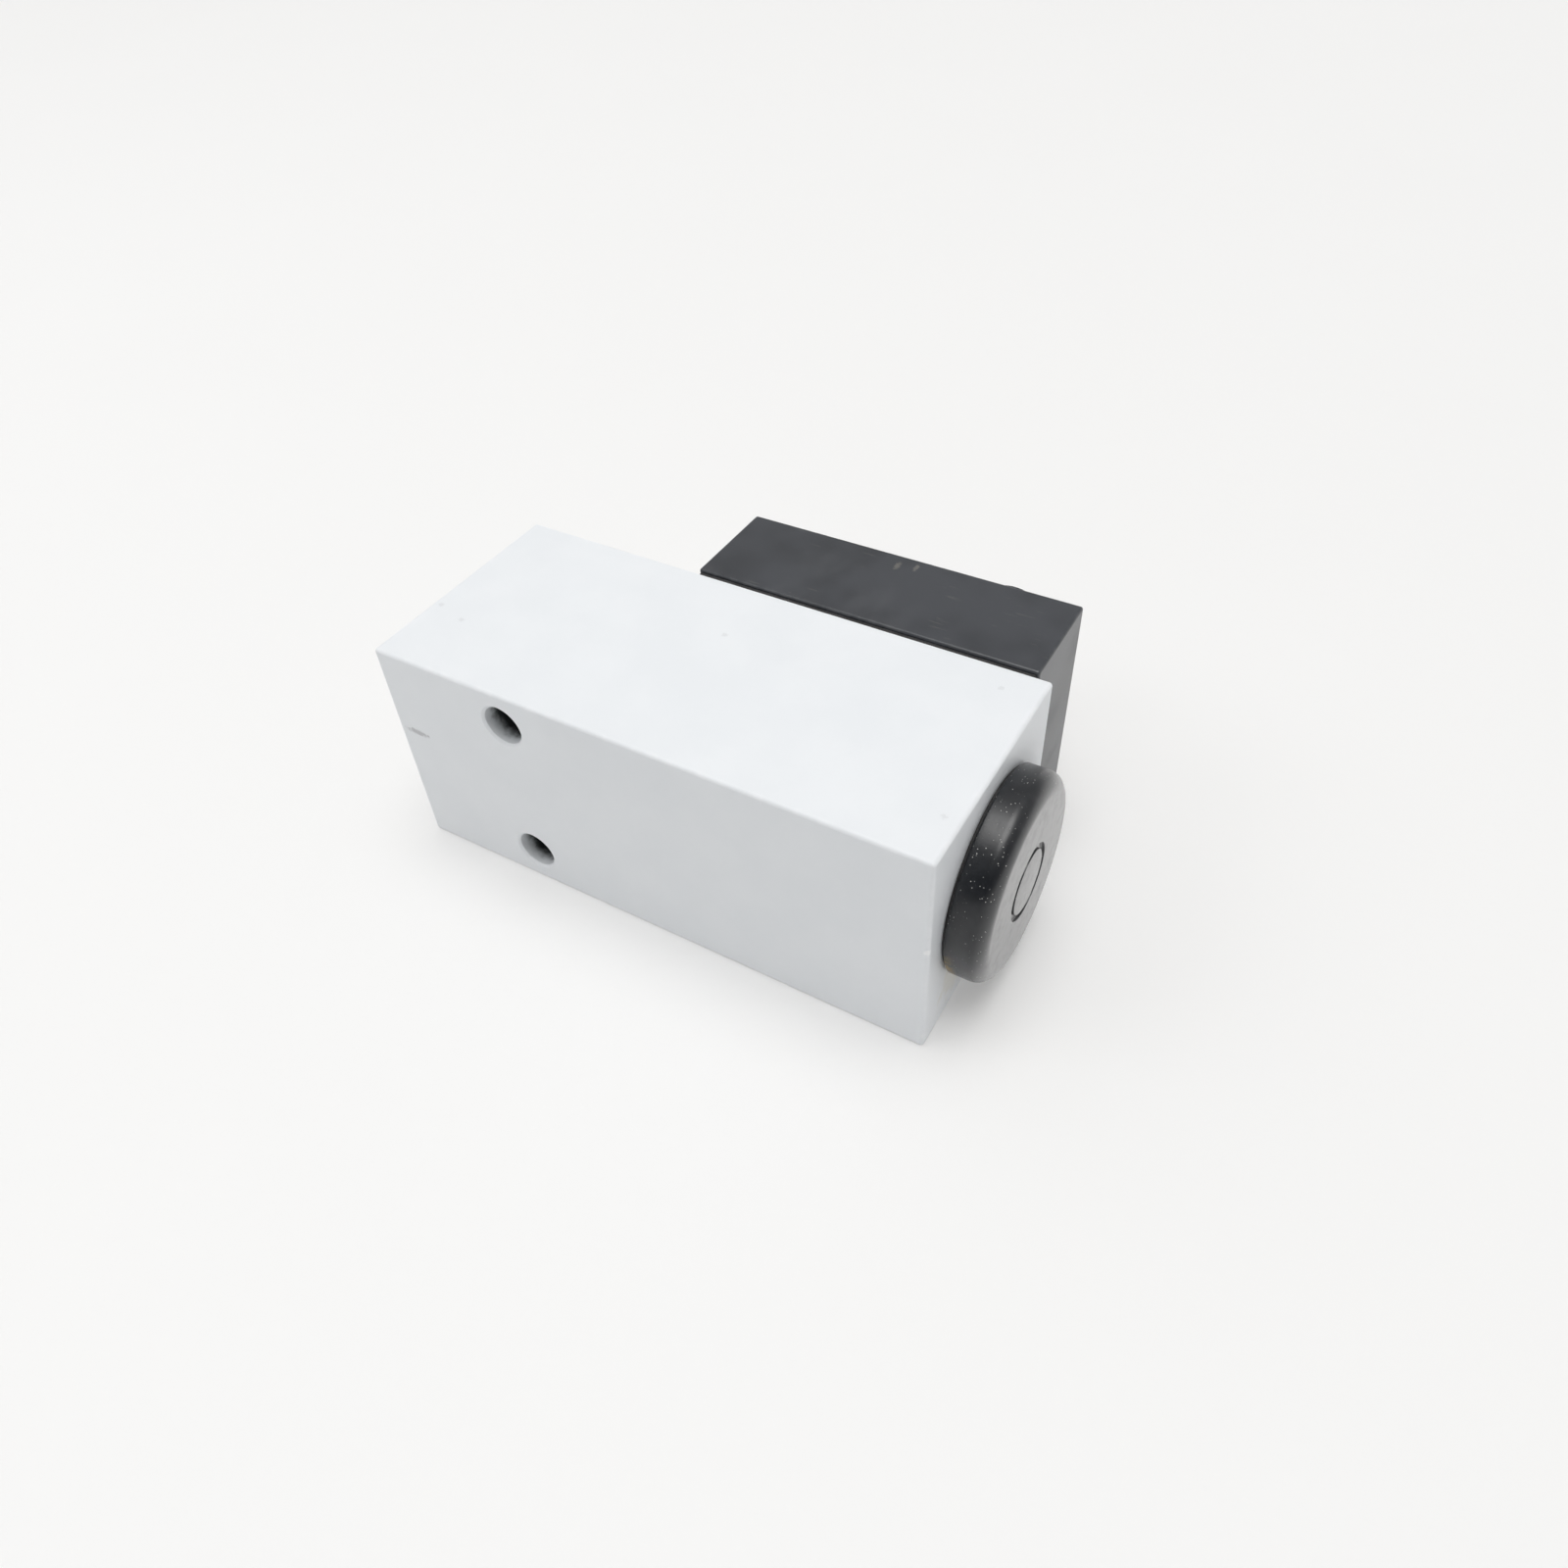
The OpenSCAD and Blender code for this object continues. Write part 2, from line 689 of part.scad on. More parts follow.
// ---- switch housing and connector ----------------------------------------

// The four housing screws, pointing along +Y from a given y
module box_screw_places(y) {
    for (x = [box_start + box_screw_inset, box_end - box_screw_inset], s = [-1, 1])
        toward_back(x, y, s * (body_h / 2 - box_screw_inset)) children();
}

boss_r = 3.2;
box_head_d = 5.5;
box_head_h = 2.2;
box_counterbore = 2.8;
box_screw_room = 0.4;                     // the screw holes are this much wider

module box_cavity() {
    difference() {
        translate([px(box_start + box_wall), box_y - cut, -body_h / 2 + box_wall])
            cube([box_l - 2 * box_wall, box_d - box_wall + cut, body_h - 2 * box_wall]);
        box_screw_places(box_y - cut) cylinder(r = boss_r, h = box_d + cut);
    }
}

module switch_housing() color([0.2, 0.2, 0.21]) {
    difference() {
        translate([px(box_start), box_y, -body_h / 2])
            rounded_block(box_l, box_d, body_h, box_r);
        box_cavity();
        box_screw_places(box_y - cut)
            cylinder(d = box_screw_d + box_screw_room, h = box_d + 2 * cut);
        box_screw_places(box_back_y - box_counterbore)
            cylinder(d = box_head_d + box_screw_room, h = box_counterbore + cut);
        toward_back(conn_x, box_inner_y - cut, 0)
            cylinder(r = conn_r + seated, h = box_wall + 2 * cut);
    }
}

module housing_gasket() color([0.06, 0.06, 0.06]) {
    difference() {
        translate([px(box_start) + gasket_inset, back_y, -body_h / 2 + gasket_inset])
            cube([box_l - 2 * gasket_inset, gasket_t, body_h - 2 * gasket_inset]);
        difference() {
            translate([px(box_start + gasket_rim), back_y - cut, -body_h / 2 + gasket_rim])
                cube([box_l - 2 * gasket_rim, gasket_t + 2 * cut,
                      body_h - 2 * gasket_rim]);
            box_screw_places(back_y - cut)
                cylinder(r = boss_r, h = gasket_t + 2 * cut);
        }
        box_screw_places(back_y - cut)
            cylinder(d = box_screw_d + box_screw_room, h = gasket_t + 2 * cut);
    }
}

module housing_screws() color("silver") {
    box_screw_places(box_back_y - box_counterbore)
        screw(box_screw_d,
              box_d - box_counterbore + gasket_t + box_screw_grip - hole_spare,
              box_head_d, box_head_h);
}

module connector_shell() color([0.11, 0.11, 0.12]) {
    difference() {
        union() {
            toward_back(conn_x, conn_tail_y, 0)
                cylinder(r = conn_r, h = conn_tip_y - conn_tail_y);
            toward_back(conn_x, box_back_y + conn_seal_t, 0)
                cylinder(r = hex_r(conn_collar_af), h = conn_collar_t, $fn = 6);
        }
        toward_back(conn_x, conn_tail_y - cut, 0)
            cylinder(d = conn_mouth_d, h = conn_tip_y - conn_tail_y + 2 * cut);
        toward_back(conn_x, conn_tip_y - 0.3, 0)
            cylinder(d1 = conn_mouth_d, d2 = conn_mouth_d + 0.6 + 2 * cut, h = 0.3 + cut);
    }
}

contact_spots = [
    for (sx = [-1, 1], sz = [-1, 1]) [sx * contact_gap / 2, sz * contact_gap / 2]
];

module contact_places(y) {
    for (p = contact_spots)
        toward_back(conn_x + p[0], y, p[1]) children();
}

module connector_insert() color([0.1, 0.1, 0.1]) {
    insert_l = conn_tip_y - conn_mouth_depth - conn_tail_y;
    difference() {
        union() {
            toward_back(conn_x, conn_tail_y, 0)
                cylinder(r = conn_mouth_d / 2 - seated, h = insert_l);
            // coding key along the mouth's wall
            translate([px(conn_x) - 0.5, conn_tail_y + insert_l - seated,
                       conn_mouth_d / 2 - 1.1])
                cube([1, conn_mouth_depth - 1, 0.9]);
        }
        contact_places(conn_tail_y - cut)
            cylinder(r = contact_d / 2 + seated, h = insert_l + 2 * cut);
    }
}

contact_end_y = conn_tail_y - contact_tail;

module contact_pins() color("gold") {
    contact_places(contact_end_y)
        cylinder(d = contact_d, h = conn_tip_y - 1.2 - contact_end_y);
}

module connector_seal() color([0.06, 0.06, 0.06]) {
    toward_back(conn_x, box_back_y, 0)
        ring(conn_collar_af / 2 - 0.3, conn_r + seated, conn_seal_t);
}

module connector_nut() color("silver") {
    toward_back(conn_x, box_inner_y - conn_nut_t, 0) difference() {
        cylinder(r = hex_r(conn_nut_af), h = conn_nut_t, $fn = 6);
        translate([0, 0, -cut]) cylinder(r = conn_r + seated, h = conn_nut_t + 2 * cut);
    }
}

// Each lead leaves a terminal's side, runs in a lane of its own above the
// microswitch, dips behind the connector and meets a contact pin's back end
wire_r = 0.45;
lane_gap = 1.3;
lead_pins = [contact_spots[3], contact_spots[1], contact_spots[2]];
lead_dips = [2.4, 2.4, 3.6];              // how far behind its pin each lead dips
function lead_knots(i) = let (
    tx = micro_x + micro_l / 2 + (i - 1) * terminal_gap,
    ty = micro_y + micro_h + terminal_l / 2,
    lane = micro_w / 2 + 1.7 + lane_gap * (2 - i),
    dip_y = contact_end_y - lead_dips[i],
    end_x = conn_x + lead_pins[i][0],
    end_z = lead_pins[i][1]
) [
    [tx, ty, terminal_w / 2 + seated], [tx, ty, lane - 1], [tx + 1, ty, lane],
    [micro_x + micro_l, ty - 1, lane], [micro_x + micro_l + 2.4, dip_y + 2, lane],
    [micro_x + micro_l + 3.6, dip_y, lane], [end_x - 1, dip_y, end_z + 1],
    [end_x, dip_y + 1, end_z], [end_x, contact_end_y - 0.01, end_z]
];
// Rounds a run of knots by cutting each corner
function cut_corners(k) = concat(
    [k[0]],
    [for (i = [0 : len(k) - 2], f = [0.25, 0.75]) k[i] * (1 - f) + k[i + 1] * f],
    [k[len(k) - 1]]
);

module lead_wires() color("saddlebrown") {
    for (i = [0 : 2])
        translate([-bolt_row, 0, 0])
            sweep(cut_corners(lead_knots(i)), wire_r, 8, [1, 1, 1]);
}

monoblock_body();
damping_nozzle();
guide_sleeve();
sleeve_o_ring();
piston();
piston_o_ring();
backup_ring();
spring_plate();
range_spring();
upper_spring_seat();
thrust_ball();
adjusting_screw();
retaining_ring();
adjuster_cap();
cap_seal();
switch_bracket();
bracket_screws();
switch_lever();
lever_pin();
microswitch_case();
microswitch_base();
switch_plunger();
switch_terminals();
microswitch_screws();
microswitch_nuts();
switch_housing();
housing_gasket();
housing_screws();
connector_shell();
connector_insert();
contact_pins();
connector_seal();
connector_nut();
lead_wires();
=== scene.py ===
# %% [markdown]
# # A square pressure valve with a switch on its back
# This lesson dresses a finished engineering model for its portrait.  The valve is a bar of
# painted metal.  Oil enters a threaded port at one end and pushes a small piston, the piston
# presses a spring, and a lever tells a little switch in the black housing on the back.
#
# The engineering model arrives as a *frame* that is never moved.  Every piece made here
# takes its place from that frame, stands in for one of its nodes and rides on the same
# moving body, so the valve still works when its joints are posed.

# %% Load the frame
import json
import math

import bmesh
import bpy
from mathutils import Matrix, Vector


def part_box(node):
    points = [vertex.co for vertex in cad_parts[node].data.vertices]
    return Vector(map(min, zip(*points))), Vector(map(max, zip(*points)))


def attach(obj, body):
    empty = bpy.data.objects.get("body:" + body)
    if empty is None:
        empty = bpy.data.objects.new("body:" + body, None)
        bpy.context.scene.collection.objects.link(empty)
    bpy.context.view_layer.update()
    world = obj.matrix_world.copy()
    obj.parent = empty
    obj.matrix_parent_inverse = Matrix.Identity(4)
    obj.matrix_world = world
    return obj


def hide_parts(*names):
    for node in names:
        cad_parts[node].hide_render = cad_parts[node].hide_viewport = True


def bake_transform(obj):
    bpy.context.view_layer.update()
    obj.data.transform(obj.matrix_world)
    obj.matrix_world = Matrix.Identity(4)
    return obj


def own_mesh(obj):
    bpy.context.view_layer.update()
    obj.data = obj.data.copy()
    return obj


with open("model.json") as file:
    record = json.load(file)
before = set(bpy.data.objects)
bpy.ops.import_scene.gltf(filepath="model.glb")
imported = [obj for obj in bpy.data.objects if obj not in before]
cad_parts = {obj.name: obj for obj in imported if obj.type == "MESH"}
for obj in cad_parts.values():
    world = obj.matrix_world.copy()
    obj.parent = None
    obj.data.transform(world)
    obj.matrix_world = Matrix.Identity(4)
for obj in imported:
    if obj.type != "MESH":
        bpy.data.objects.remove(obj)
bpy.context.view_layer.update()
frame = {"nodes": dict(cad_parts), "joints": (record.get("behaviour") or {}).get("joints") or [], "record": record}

MM = 0.001
record = frame["record"]
body_of = {node: body for body, nodes in record["behaviour"]["bodies"].items() for node in nodes}
slot_of = {part["node"]: part["material_slot"] for part in record["subparts"]}


def span(node):
    """Lowest and highest corner of a node, in millimetres."""
    low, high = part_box(node)
    return low / MM, high / MM


# %% [markdown]
# ## The camera
# A camera is a place, a point it looks at, and a small tilt.  Writing those three down is
# clearer than a table of rotation numbers: `to_track_quat` turns the view direction into a
# rotation, and the tilt is a turn about the camera's own axis.

# %% Place the camera
camera_place = Vector((86.23, -72.58, 103.82)) * MM
camera_aim = Vector((28.92, 16.84, 0.0)) * MM
camera_tilt = math.radians(-3.45)

camera_data = bpy.data.cameras.new("camera")
camera_data.lens = 27.144
camera_data.sensor_width = 36
camera_data.clip_start = 0.005
camera = bpy.data.objects.new("camera", camera_data)
bpy.context.scene.collection.objects.link(camera)
turn = (camera_aim - camera_place).to_track_quat("-Z", "Y").to_matrix().to_4x4()
camera.matrix_world = Matrix.Translation(camera_place) @ turn @ Matrix.Rotation(camera_tilt, 4, "Z")
bpy.context.scene.camera = camera
print("camera looks from", [round(v / MM) for v in camera_place], "mm")

# %% [markdown]
# ## Sums in a material
# A procedural material is arithmetic on positions.  Written as nodes it is a long list of
# boxes and wires, so this small class lets Python's own signs do the wiring: `1 - mask`
# adds a Math node and joins it up.  Every other kind of node comes from one method.

# %% A signal that runs through a node tree
class Signal:
    """The value on one output socket of a node tree."""

    def __init__(self, tree, socket=None):
        self.tree = tree
        self.socket = socket

    def node(self, kind, settings=None, inputs=None, output=0):
        made = self.tree.nodes.new(kind)
        for name, value in (settings or {}).items():
            if name == "stops":
                for stop, (place, shade) in zip(made.color_ramp.elements, value):
                    stop.position = place
                    stop.color = shade
            else:
                setattr(made, name, value)
        for name, value in (inputs or {}).items():
            if isinstance(value, Signal):
                self.tree.links.new(value.socket, made.inputs[name])
            else:
                made.inputs[name].default_value = value
        return Signal(self.tree, made.outputs[output])

    def sum(self, operation, *values):
        inputs = dict(enumerate(values))
        return self.node("ShaderNodeMath", {"operation": operation}, inputs)

    def __add__(self, other):
        return self.sum("ADD", self, other)

    def __radd__(self, other):
        return self.sum("ADD", other, self)

    def __sub__(self, other):
        return self.sum("SUBTRACT", self, other)

    def __rsub__(self, other):
        return self.sum("SUBTRACT", other, self)

    def __mul__(self, other):
        return self.sum("MULTIPLY", self, other)

    def __rmul__(self, other):
        return self.sum("MULTIPLY", other, self)

    def __truediv__(self, other):
        return self.sum("DIVIDE", self, other)

    def __abs__(self):
        return self.sum("ABSOLUTE", self)


print("signs that wire nodes: + - * / and abs")

# %% [markdown]
# A few helpers say in a maker's words what most finishes need: a soft step from one value
# to another, noise with blotches of a known size, scattered specks, one colour laid over
# another, and relief.  Sizes are in millimetres, so a finish can be checked with a ruler.

# %% Steps, noise and specks
def smooth_step(value, low, high):
    """0 below low, 1 above high, and a soft slope between them."""
    settings = {"interpolation_type": "SMOOTHSTEP"}
    return value.node("ShaderNodeMapRange", settings,
                      {"Value": value, "From Min": low, "From Max": high})


def parts_of(vector):
    """The three numbers of a vector signal."""
    made = vector.node("ShaderNodeSeparateXYZ", None, {"Vector": vector})
    outputs = made.socket.node.outputs
    return [Signal(vector.tree, outputs[i]) for i in range(3)]


def grain(place, size, detail=2.0, stretch=(1, 1, 1)):
    """Noise from 0 to 1 whose blotches are about `size` millimetres across."""
    scaled = place
    if stretch != (1, 1, 1):
        scaled = place.node("ShaderNodeMapping", None, {"Vector": place, "Scale": stretch})
    return scaled.node("ShaderNodeTexNoise", None,
                       {"Vector": scaled, "Scale": 1 / (size * MM), "Detail": detail})


def specks(place, gap, size, share):
    """Small round dots: one to a cell of `gap` millimetres, kept for a share of the cells."""
    cells = place.node("ShaderNodeTexVoronoi", None, {"Vector": place, "Scale": 1 / (gap * MM)})
    outputs = cells.socket.node.outputs
    luck = parts_of(Signal(place.tree, outputs["Color"]))
    radius = size / gap * (0.4 + 0.6 * luck[1])
    dot = 1 - smooth_step(Signal(place.tree, outputs["Distance"]) / radius, 0.55, 1.0)
    return dot * luck[0].sum("LESS_THAN", luck[0], share)


print("noise and specks are sized in millimetres")


# %% Colour, relief and the shader
def tint(mask, plain, marked):
    """A colour that goes from `plain` to `marked` as the mask goes from 0 to 1."""
    colour = {"A": plain, "B": marked}
    made = mask.node("ShaderNodeMix", {"data_type": "RGBA"}, {"Factor": mask})
    mixer = made.socket.node
    for name, value in colour.items():
        socket = next(s for s in mixer.inputs if s.name == name and s.type == "RGBA")
        if isinstance(value, Signal):
            mask.tree.links.new(value.socket, socket)
        else:
            socket.default_value = (*value, 1)
    return Signal(mask.tree, next(s for s in mixer.outputs if s.type == "RGBA"))


def relief(height, depth):
    """Bump whose full height is `depth` millimetres."""
    inputs = {"Height": height, "Strength": 1.0, "Distance": depth * MM}
    return height.node("ShaderNodeBump", None, inputs)


def start_finish(name, metallic=0.0, roughness=0.5, **fixed):
    """A new material: returns it and the object's coordinates."""
    material = bpy.data.materials.new(name)
    material.use_nodes = True
    shader = material.node_tree.nodes["Principled BSDF"]
    shader.inputs["Metallic"].default_value = metallic
    shader.inputs["Roughness"].default_value = roughness
    for socket, value in fixed.items():
        shader.inputs[socket.replace("_", " ")].default_value = value
    blank = Signal(material.node_tree)
    return material, blank.node("ShaderNodeTexCoord", output="Object")


def wire_up(material, **signals):
    """Join signals to the material's shader, by the socket's name."""
    shader = material.node_tree.nodes["Principled BSDF"]
    for socket, signal in signals.items():
        signal.tree.links.new(signal.socket, shader.inputs[socket.replace("_", " ")])
    return material


print("a finish starts with start_finish and ends with wire_up")

# %% [markdown]
# ## Light grey powder coat
# The block is sprayed with dry paint powder and baked.  The paint melts into a smooth skin
# with a faint *orange peel*, a few grains of dirt under it, and small scuffs where the block
# has knocked about.  Three things carry that look: a very shallow, wide bump, a roughness
# that drifts a little, and marks placed where they were made.

# %% Marks and rubbed edges
def smudge(place, centre, reach, ragged):
    """A soft-edged mark of the given half sizes, in millimetres, broken up by noise."""
    moved = place.node("ShaderNodeMapping", {"vector_type": "TEXTURE"},
                       {"Vector": place, "Location": Vector(centre) * MM,
                        "Scale": Vector(reach) * MM})
    length = moved.node("ShaderNodeVectorMath", {"operation": "LENGTH"},
                        {"Vector": moved}, "Value")
    edge = length + (grain(place, ragged, 4.0) - 0.5) * 1.6
    return 1 - smooth_step(edge, 0.45, 1.0)


def near_edge(place, low, high, width):
    """1 close to the edges of a box, where two of its faces meet."""
    reach = []
    for part, bottom, top in zip(parts_of(place), low, high):
        middle = (bottom + top) / 2 * MM
        half = (top - bottom) / 2 * MM
        reach.append(half - abs(part - middle))
    small = reach[0].sum("MINIMUM", reach[0], reach[1])
    large = reach[0].sum("MAXIMUM", reach[0], reach[1])
    second = small.sum("MAXIMUM", small, large.sum("MINIMUM", large, reach[2]))
    return 1 - smooth_step(second, 0.0, width * MM)


print("marks are placed by their centre and half sizes, in millimetres")

# %% Powder coat
bolt_height = 11.0
bolt_radius = 2.75
scuff_centre = (-16.0, 0.0, 3.5)
nick_centre = (56.6, 0.1, 1.8)
stain_centre = (56.8, 8.5, -10.5)
speck_spots = ((-17.9, 11.0), (-13.3, 9.7), (18.2, 22.2), (51.9, 28.2), (54.7, 6.6))


def powder_coat():
    material, place = start_finish("powder_coat", roughness=0.42)
    low, high = span("monoblock_body")
    peel = grain(place, 0.55, 1.5)
    drift = grain(place, 9.0, 3.0)
    marks = smudge(place, scuff_centre, (2.3, 0.7, 0.6), 0.5)
    for spot_x, spot_y in speck_spots:
        speck = smudge(place, (spot_x, spot_y, high.z), (0.5, 0.45, 0.4), 0.3)
        marks = marks.sum("MAXIMUM", marks, 0.3 * speck)
    nick = smudge(place, nick_centre, (0.5, 0.5, 0.7), 0.3)
    dirt = specks(place, 4.0, 0.07, 0.22)
    x, y, z = parts_of(place)
    up = abs(z) - bolt_height * MM
    from_bolt = (x * x + up * up).sum("SQRT", x * x + up * up) / MM
    in_bolt_hole = 1 - smooth_step(from_bolt, bolt_radius + 0.03, bolt_radius + 0.12)
    # Painted shade: inside the bolt holes the colour falls to near black from about two millimetres in from either
    # face, with a ragged edge.
    shade_edge_noise = grain(place, 0.9, 3.0) * 1.6
    depth = (y / MM).sum("MINIMUM", y / MM, high.y - y / MM)
    painted_bore_shade = in_bolt_hole * smooth_step(depth + shade_edge_noise, 1.7, 3.6)
    rubbed = near_edge(place, low, high, 0.9) * smooth_step(grain(place, 2.2, 4.0), 0.48, 0.62)
    base = tint(smooth_step(drift, 0.3, 0.7), (0.79, 0.815, 0.842), (0.812, 0.835, 0.86))
    worn = tint(0.55 * rubbed, base, (0.86, 0.875, 0.9))
    scuffed = tint(0.65 * marks, worn, (0.4, 0.4, 0.42))
    chipped = tint(0.85 * nick, scuffed, (0.93, 0.94, 0.95))
    oily = smudge(place, stain_centre, (0.5, 5.5, 4.0), 1.5)
    stained = tint(0.35 * oily, chipped, (0.62, 0.58, 0.44))
    dirty = tint(0.7 * dirt, stained, (0.3, 0.28, 0.25))
    # The painted shade in the bolt holes is laid over everything else.
    colour = tint(painted_bore_shade, dirty, (0.03, 0.034, 0.034))
    rough = 0.38 + 0.08 * drift + 0.2 * marks
    normal = relief(peel + 0.4 * grain(place, 0.16, 1.0) - 1.5 * marks, 0.012)
    return wire_up(material, Base_Color=colour, Roughness=rough, Normal=normal)


finishes = {"powder_coat": powder_coat()}
print("powder coat:", len(finishes["powder_coat"].node_tree.nodes), "nodes")

# %% [markdown]
# ## Moulded plastics and rubber
# The housing is spark-eroded plastic: its mould was left with a fine grain that scatters
# light, so it is nearly black but never shiny, and hands leave faint paler smears.  The cap
# is the same stuff from a polished mould.  It shines, and so it also shows dust, and grime
# that has collected in the corner against the block.

# %% Housing plastic
scuff_spots = ((30.4, 44.9, 0.45, 1.1), (32.8, 45.6, 0.4, 0.9))


def housing_plastic():
    material, place = start_finish("housing_plastic", roughness=0.5, Coat_Weight=0.3,
                                   Coat_Roughness=0.3)
    low, high = span("switch_housing")
    fine = grain(place, 0.13, 2.0)
    smear = smooth_step(grain(place, 6.0, 4.0, (1, 0.45, 1)), 0.5, 0.75)
    hairs = smooth_step(grain(place, 0.5, 3.0, (0.12, 1.0, 1.0)), 0.62, 0.68)
    hairs = hairs * smooth_step(grain(place, 5.0, 1.0), 0.52, 0.6)
    dust = specks(place, 1.6, 0.06, 0.3)
    edges = near_edge(place, low, high, 0.5) * smooth_step(grain(place, 1.5, 3.0), 0.4, 0.6)
    scuff, other = (smudge(place, (x, y, high.z), (half_x, half_y, 0.5), 0.3)
                    for x, y, half_x, half_y in scuff_spots)
    scuff = scuff.sum("MAXIMUM", scuff, other)
    cloud = smooth_step(grain(place, 11.0, 2.0), 0.35, 0.65)
    ground = tint(cloud, (0.021, 0.024, 0.03), (0.04, 0.044, 0.053))
    base = tint(0.5 * smear, ground, (0.062, 0.066, 0.075))
    handled = tint(0.4 * edges, base, (0.1, 0.105, 0.11))
    scuffed = tint(0.3 * scuff, handled, (0.3, 0.28, 0.24))
    scratched = tint(0.3 * hairs, scuffed, (0.14, 0.14, 0.13))
    colour = tint(0.55 * dust, scratched, (0.4, 0.39, 0.37))
    rough = 0.36 + 0.1 * smear - 0.08 * edges
    return wire_up(material, Base_Color=colour, Roughness=rough, Normal=relief(fine, 0.014))


finishes["housing_plastic"] = housing_plastic()
print("housing plastic:", len(finishes["housing_plastic"].node_tree.nodes), "nodes")


# %% Cap plastic
def cap_plastic():
    material, place = start_finish("cap_plastic", roughness=0.3, Coat_Roughness=0.22)
    low, high = span("adjuster_cap")
    along = parts_of(place)[0] / MM
    foot = span("cap_seal")[1].x
    height = parts_of(place)[2] / MM
    corner = 1 - smooth_step(along, foot + 0.1, foot + 1.5)
    low_down = 1 - smooth_step(height, low.z + 7.0, low.z + 13.0)
    grime = corner * low_down * smooth_step(grain(place, 0.8, 5.0), 0.36, 0.56)
    flat = smooth_step(along, high.x - 0.6, high.x - 0.1)
    fine_dust = specks(place, 0.36, 0.085, 0.6)
    dust = fine_dust.sum("MAXIMUM", fine_dust, specks(place, 0.9, 0.13, 0.45))
    dust = dust * smooth_step(grain(place, 3.0, 2.0), 0.36, 0.52) * (1 - 0.8 * flat)
    bloom = smooth_step(grain(place, 1.6, 5.0), 0.42, 0.72)
    wiped = smooth_step(grain(place, 0.35, 3.0, (1.0, 0.2, 0.2)), 0.5, 0.75)
    base = tint(bloom, (0.006, 0.0075, 0.0105), (0.012, 0.0135, 0.017))
    dusty = tint(0.8 * dust, base, (0.6, 0.6, 0.58))
    colour = tint(0.9 * grime, dusty, (0.4, 0.29, 0.13))
    rough = 0.29 + 0.05 * bloom + 0.35 * grime + 0.3 * dust + 0.06 * wiped
    skin = grain(place, 0.28, 2.0) * 0.5 + dust + grime
    polish = 0.15 + 0.85 * smooth_step(along, high.x - 1.6, high.x)
    return wire_up(material, Base_Color=colour, Roughness=rough, Coat_Weight=polish,
                   Normal=relief(skin, 0.01))


finishes["cap_plastic"] = cap_plastic()
print("cap plastic:", len(finishes["cap_plastic"].node_tree.nodes), "nodes")


# %% Small mouldings and rubber
def moulded(name, dark, pale, roughness, size):
    """A plain moulding for the small parts inside: fine grain, a drift of tone, a little dust."""
    material, place = start_finish(name, roughness=roughness)
    drift = smooth_step(grain(place, 2.5, 4.0), 0.4, 0.68)
    dust = specks(place, 0.9, 0.05, 0.25)
    colour = tint(0.5 * dust, tint(drift, dark, pale), (0.5, 0.48, 0.45))
    rough = roughness - 0.05 + 0.12 * drift
    return wire_up(material, Base_Color=colour, Roughness=rough,
                   Normal=relief(grain(place, size, 2.0), 0.008))


def black_rubber():
    material, place = start_finish("black_rubber", roughness=0.7, Sheen_Weight=0.08)
    bloom = smooth_step(grain(place, 1.8, 4.0), 0.42, 0.7)
    lint = specks(place, 0.7, 0.05, 0.3)
    colour = tint(0.5 * lint, tint(bloom, (0.014, 0.014, 0.015), (0.035, 0.035, 0.036)),
                  (0.3, 0.3, 0.29))
    rough = 0.62 + 0.16 * bloom
    return wire_up(material, Base_Color=colour, Roughness=rough,
                   Normal=relief(grain(place, 0.18, 3.0), 0.012))


mouldings = {
    "switch_black": ((0.02, 0.02, 0.022), (0.04, 0.04, 0.042), 0.45, 0.12),
    "switch_red": ((0.3, 0.03, 0.02), (0.42, 0.06, 0.04), 0.4, 0.12),
    "wire_sheath": ((0.12, 0.05, 0.025), (0.19, 0.085, 0.045), 0.5, 0.2)}
for name, look in mouldings.items():
    finishes[name] = moulded(name, *look)
finishes["black_rubber"] = black_rubber()
print("finishes so far:", ", ".join(sorted(finishes)))

# %% [markdown]
# ## Bare and plated metals
# A turned part carries rings from the lathe tool, so its bump must run round the part's own
# axis.  Two numbers describe a ring: how far along the axis it is and how far out.  Noise
# that is stretched along nothing but those two gives rings on the sides and faces alike.
# Plated parts are smoother, and their colour drifts from bluish to straw.

# %% How a metal is made
def lathe_rings(place, axis, size):
    """Noise that is the same all round an axis, which is "X" or "Y" through the given node."""
    low, high = span("adjusting_screw" if axis == "X" else "connector_shell")
    middle = (low + high) / 2 * MM
    x, y, z = parts_of(place)
    along, across, centre = (x, y, middle.y) if axis == "X" else (y, x, middle.x)
    side = across - centre
    out = (side * side + z * z).sum("SQRT", side * side + z * z)
    flat = place.node("ShaderNodeCombineXYZ", None, {"X": along, "Y": out, "Z": 0.0})
    return grain(flat, size, 3.0)


def metal(name, clean, aged, roughness, axis=None, ring=0.12, depth=0.006, blotch=3.0):
    """A bare or plated metal: tool marks, a drift of colour, and dull patches and pits."""
    material, place = start_finish(name, metallic=1.0, roughness=roughness)
    drift = smooth_step(grain(place, blotch, 4.0), 0.38, 0.66)
    pits = specks(place, 0.8, 0.05, 0.3)
    marks = lathe_rings(place, axis, ring) if axis else grain(place, ring, 3.0, (0.08, 1.0, 1.0))
    colour = tint(0.6 * pits, tint(drift, clean, aged), [0.4 * c for c in aged])
    rough = roughness - 0.03 + 0.08 * drift + 0.14 * (marks - 0.5) + 0.2 * pits
    height = marks + 0.3 * grain(place, 0.1, 2.0) - pits
    return wire_up(material, Base_Color=colour, Roughness=rough, Normal=relief(height, depth))


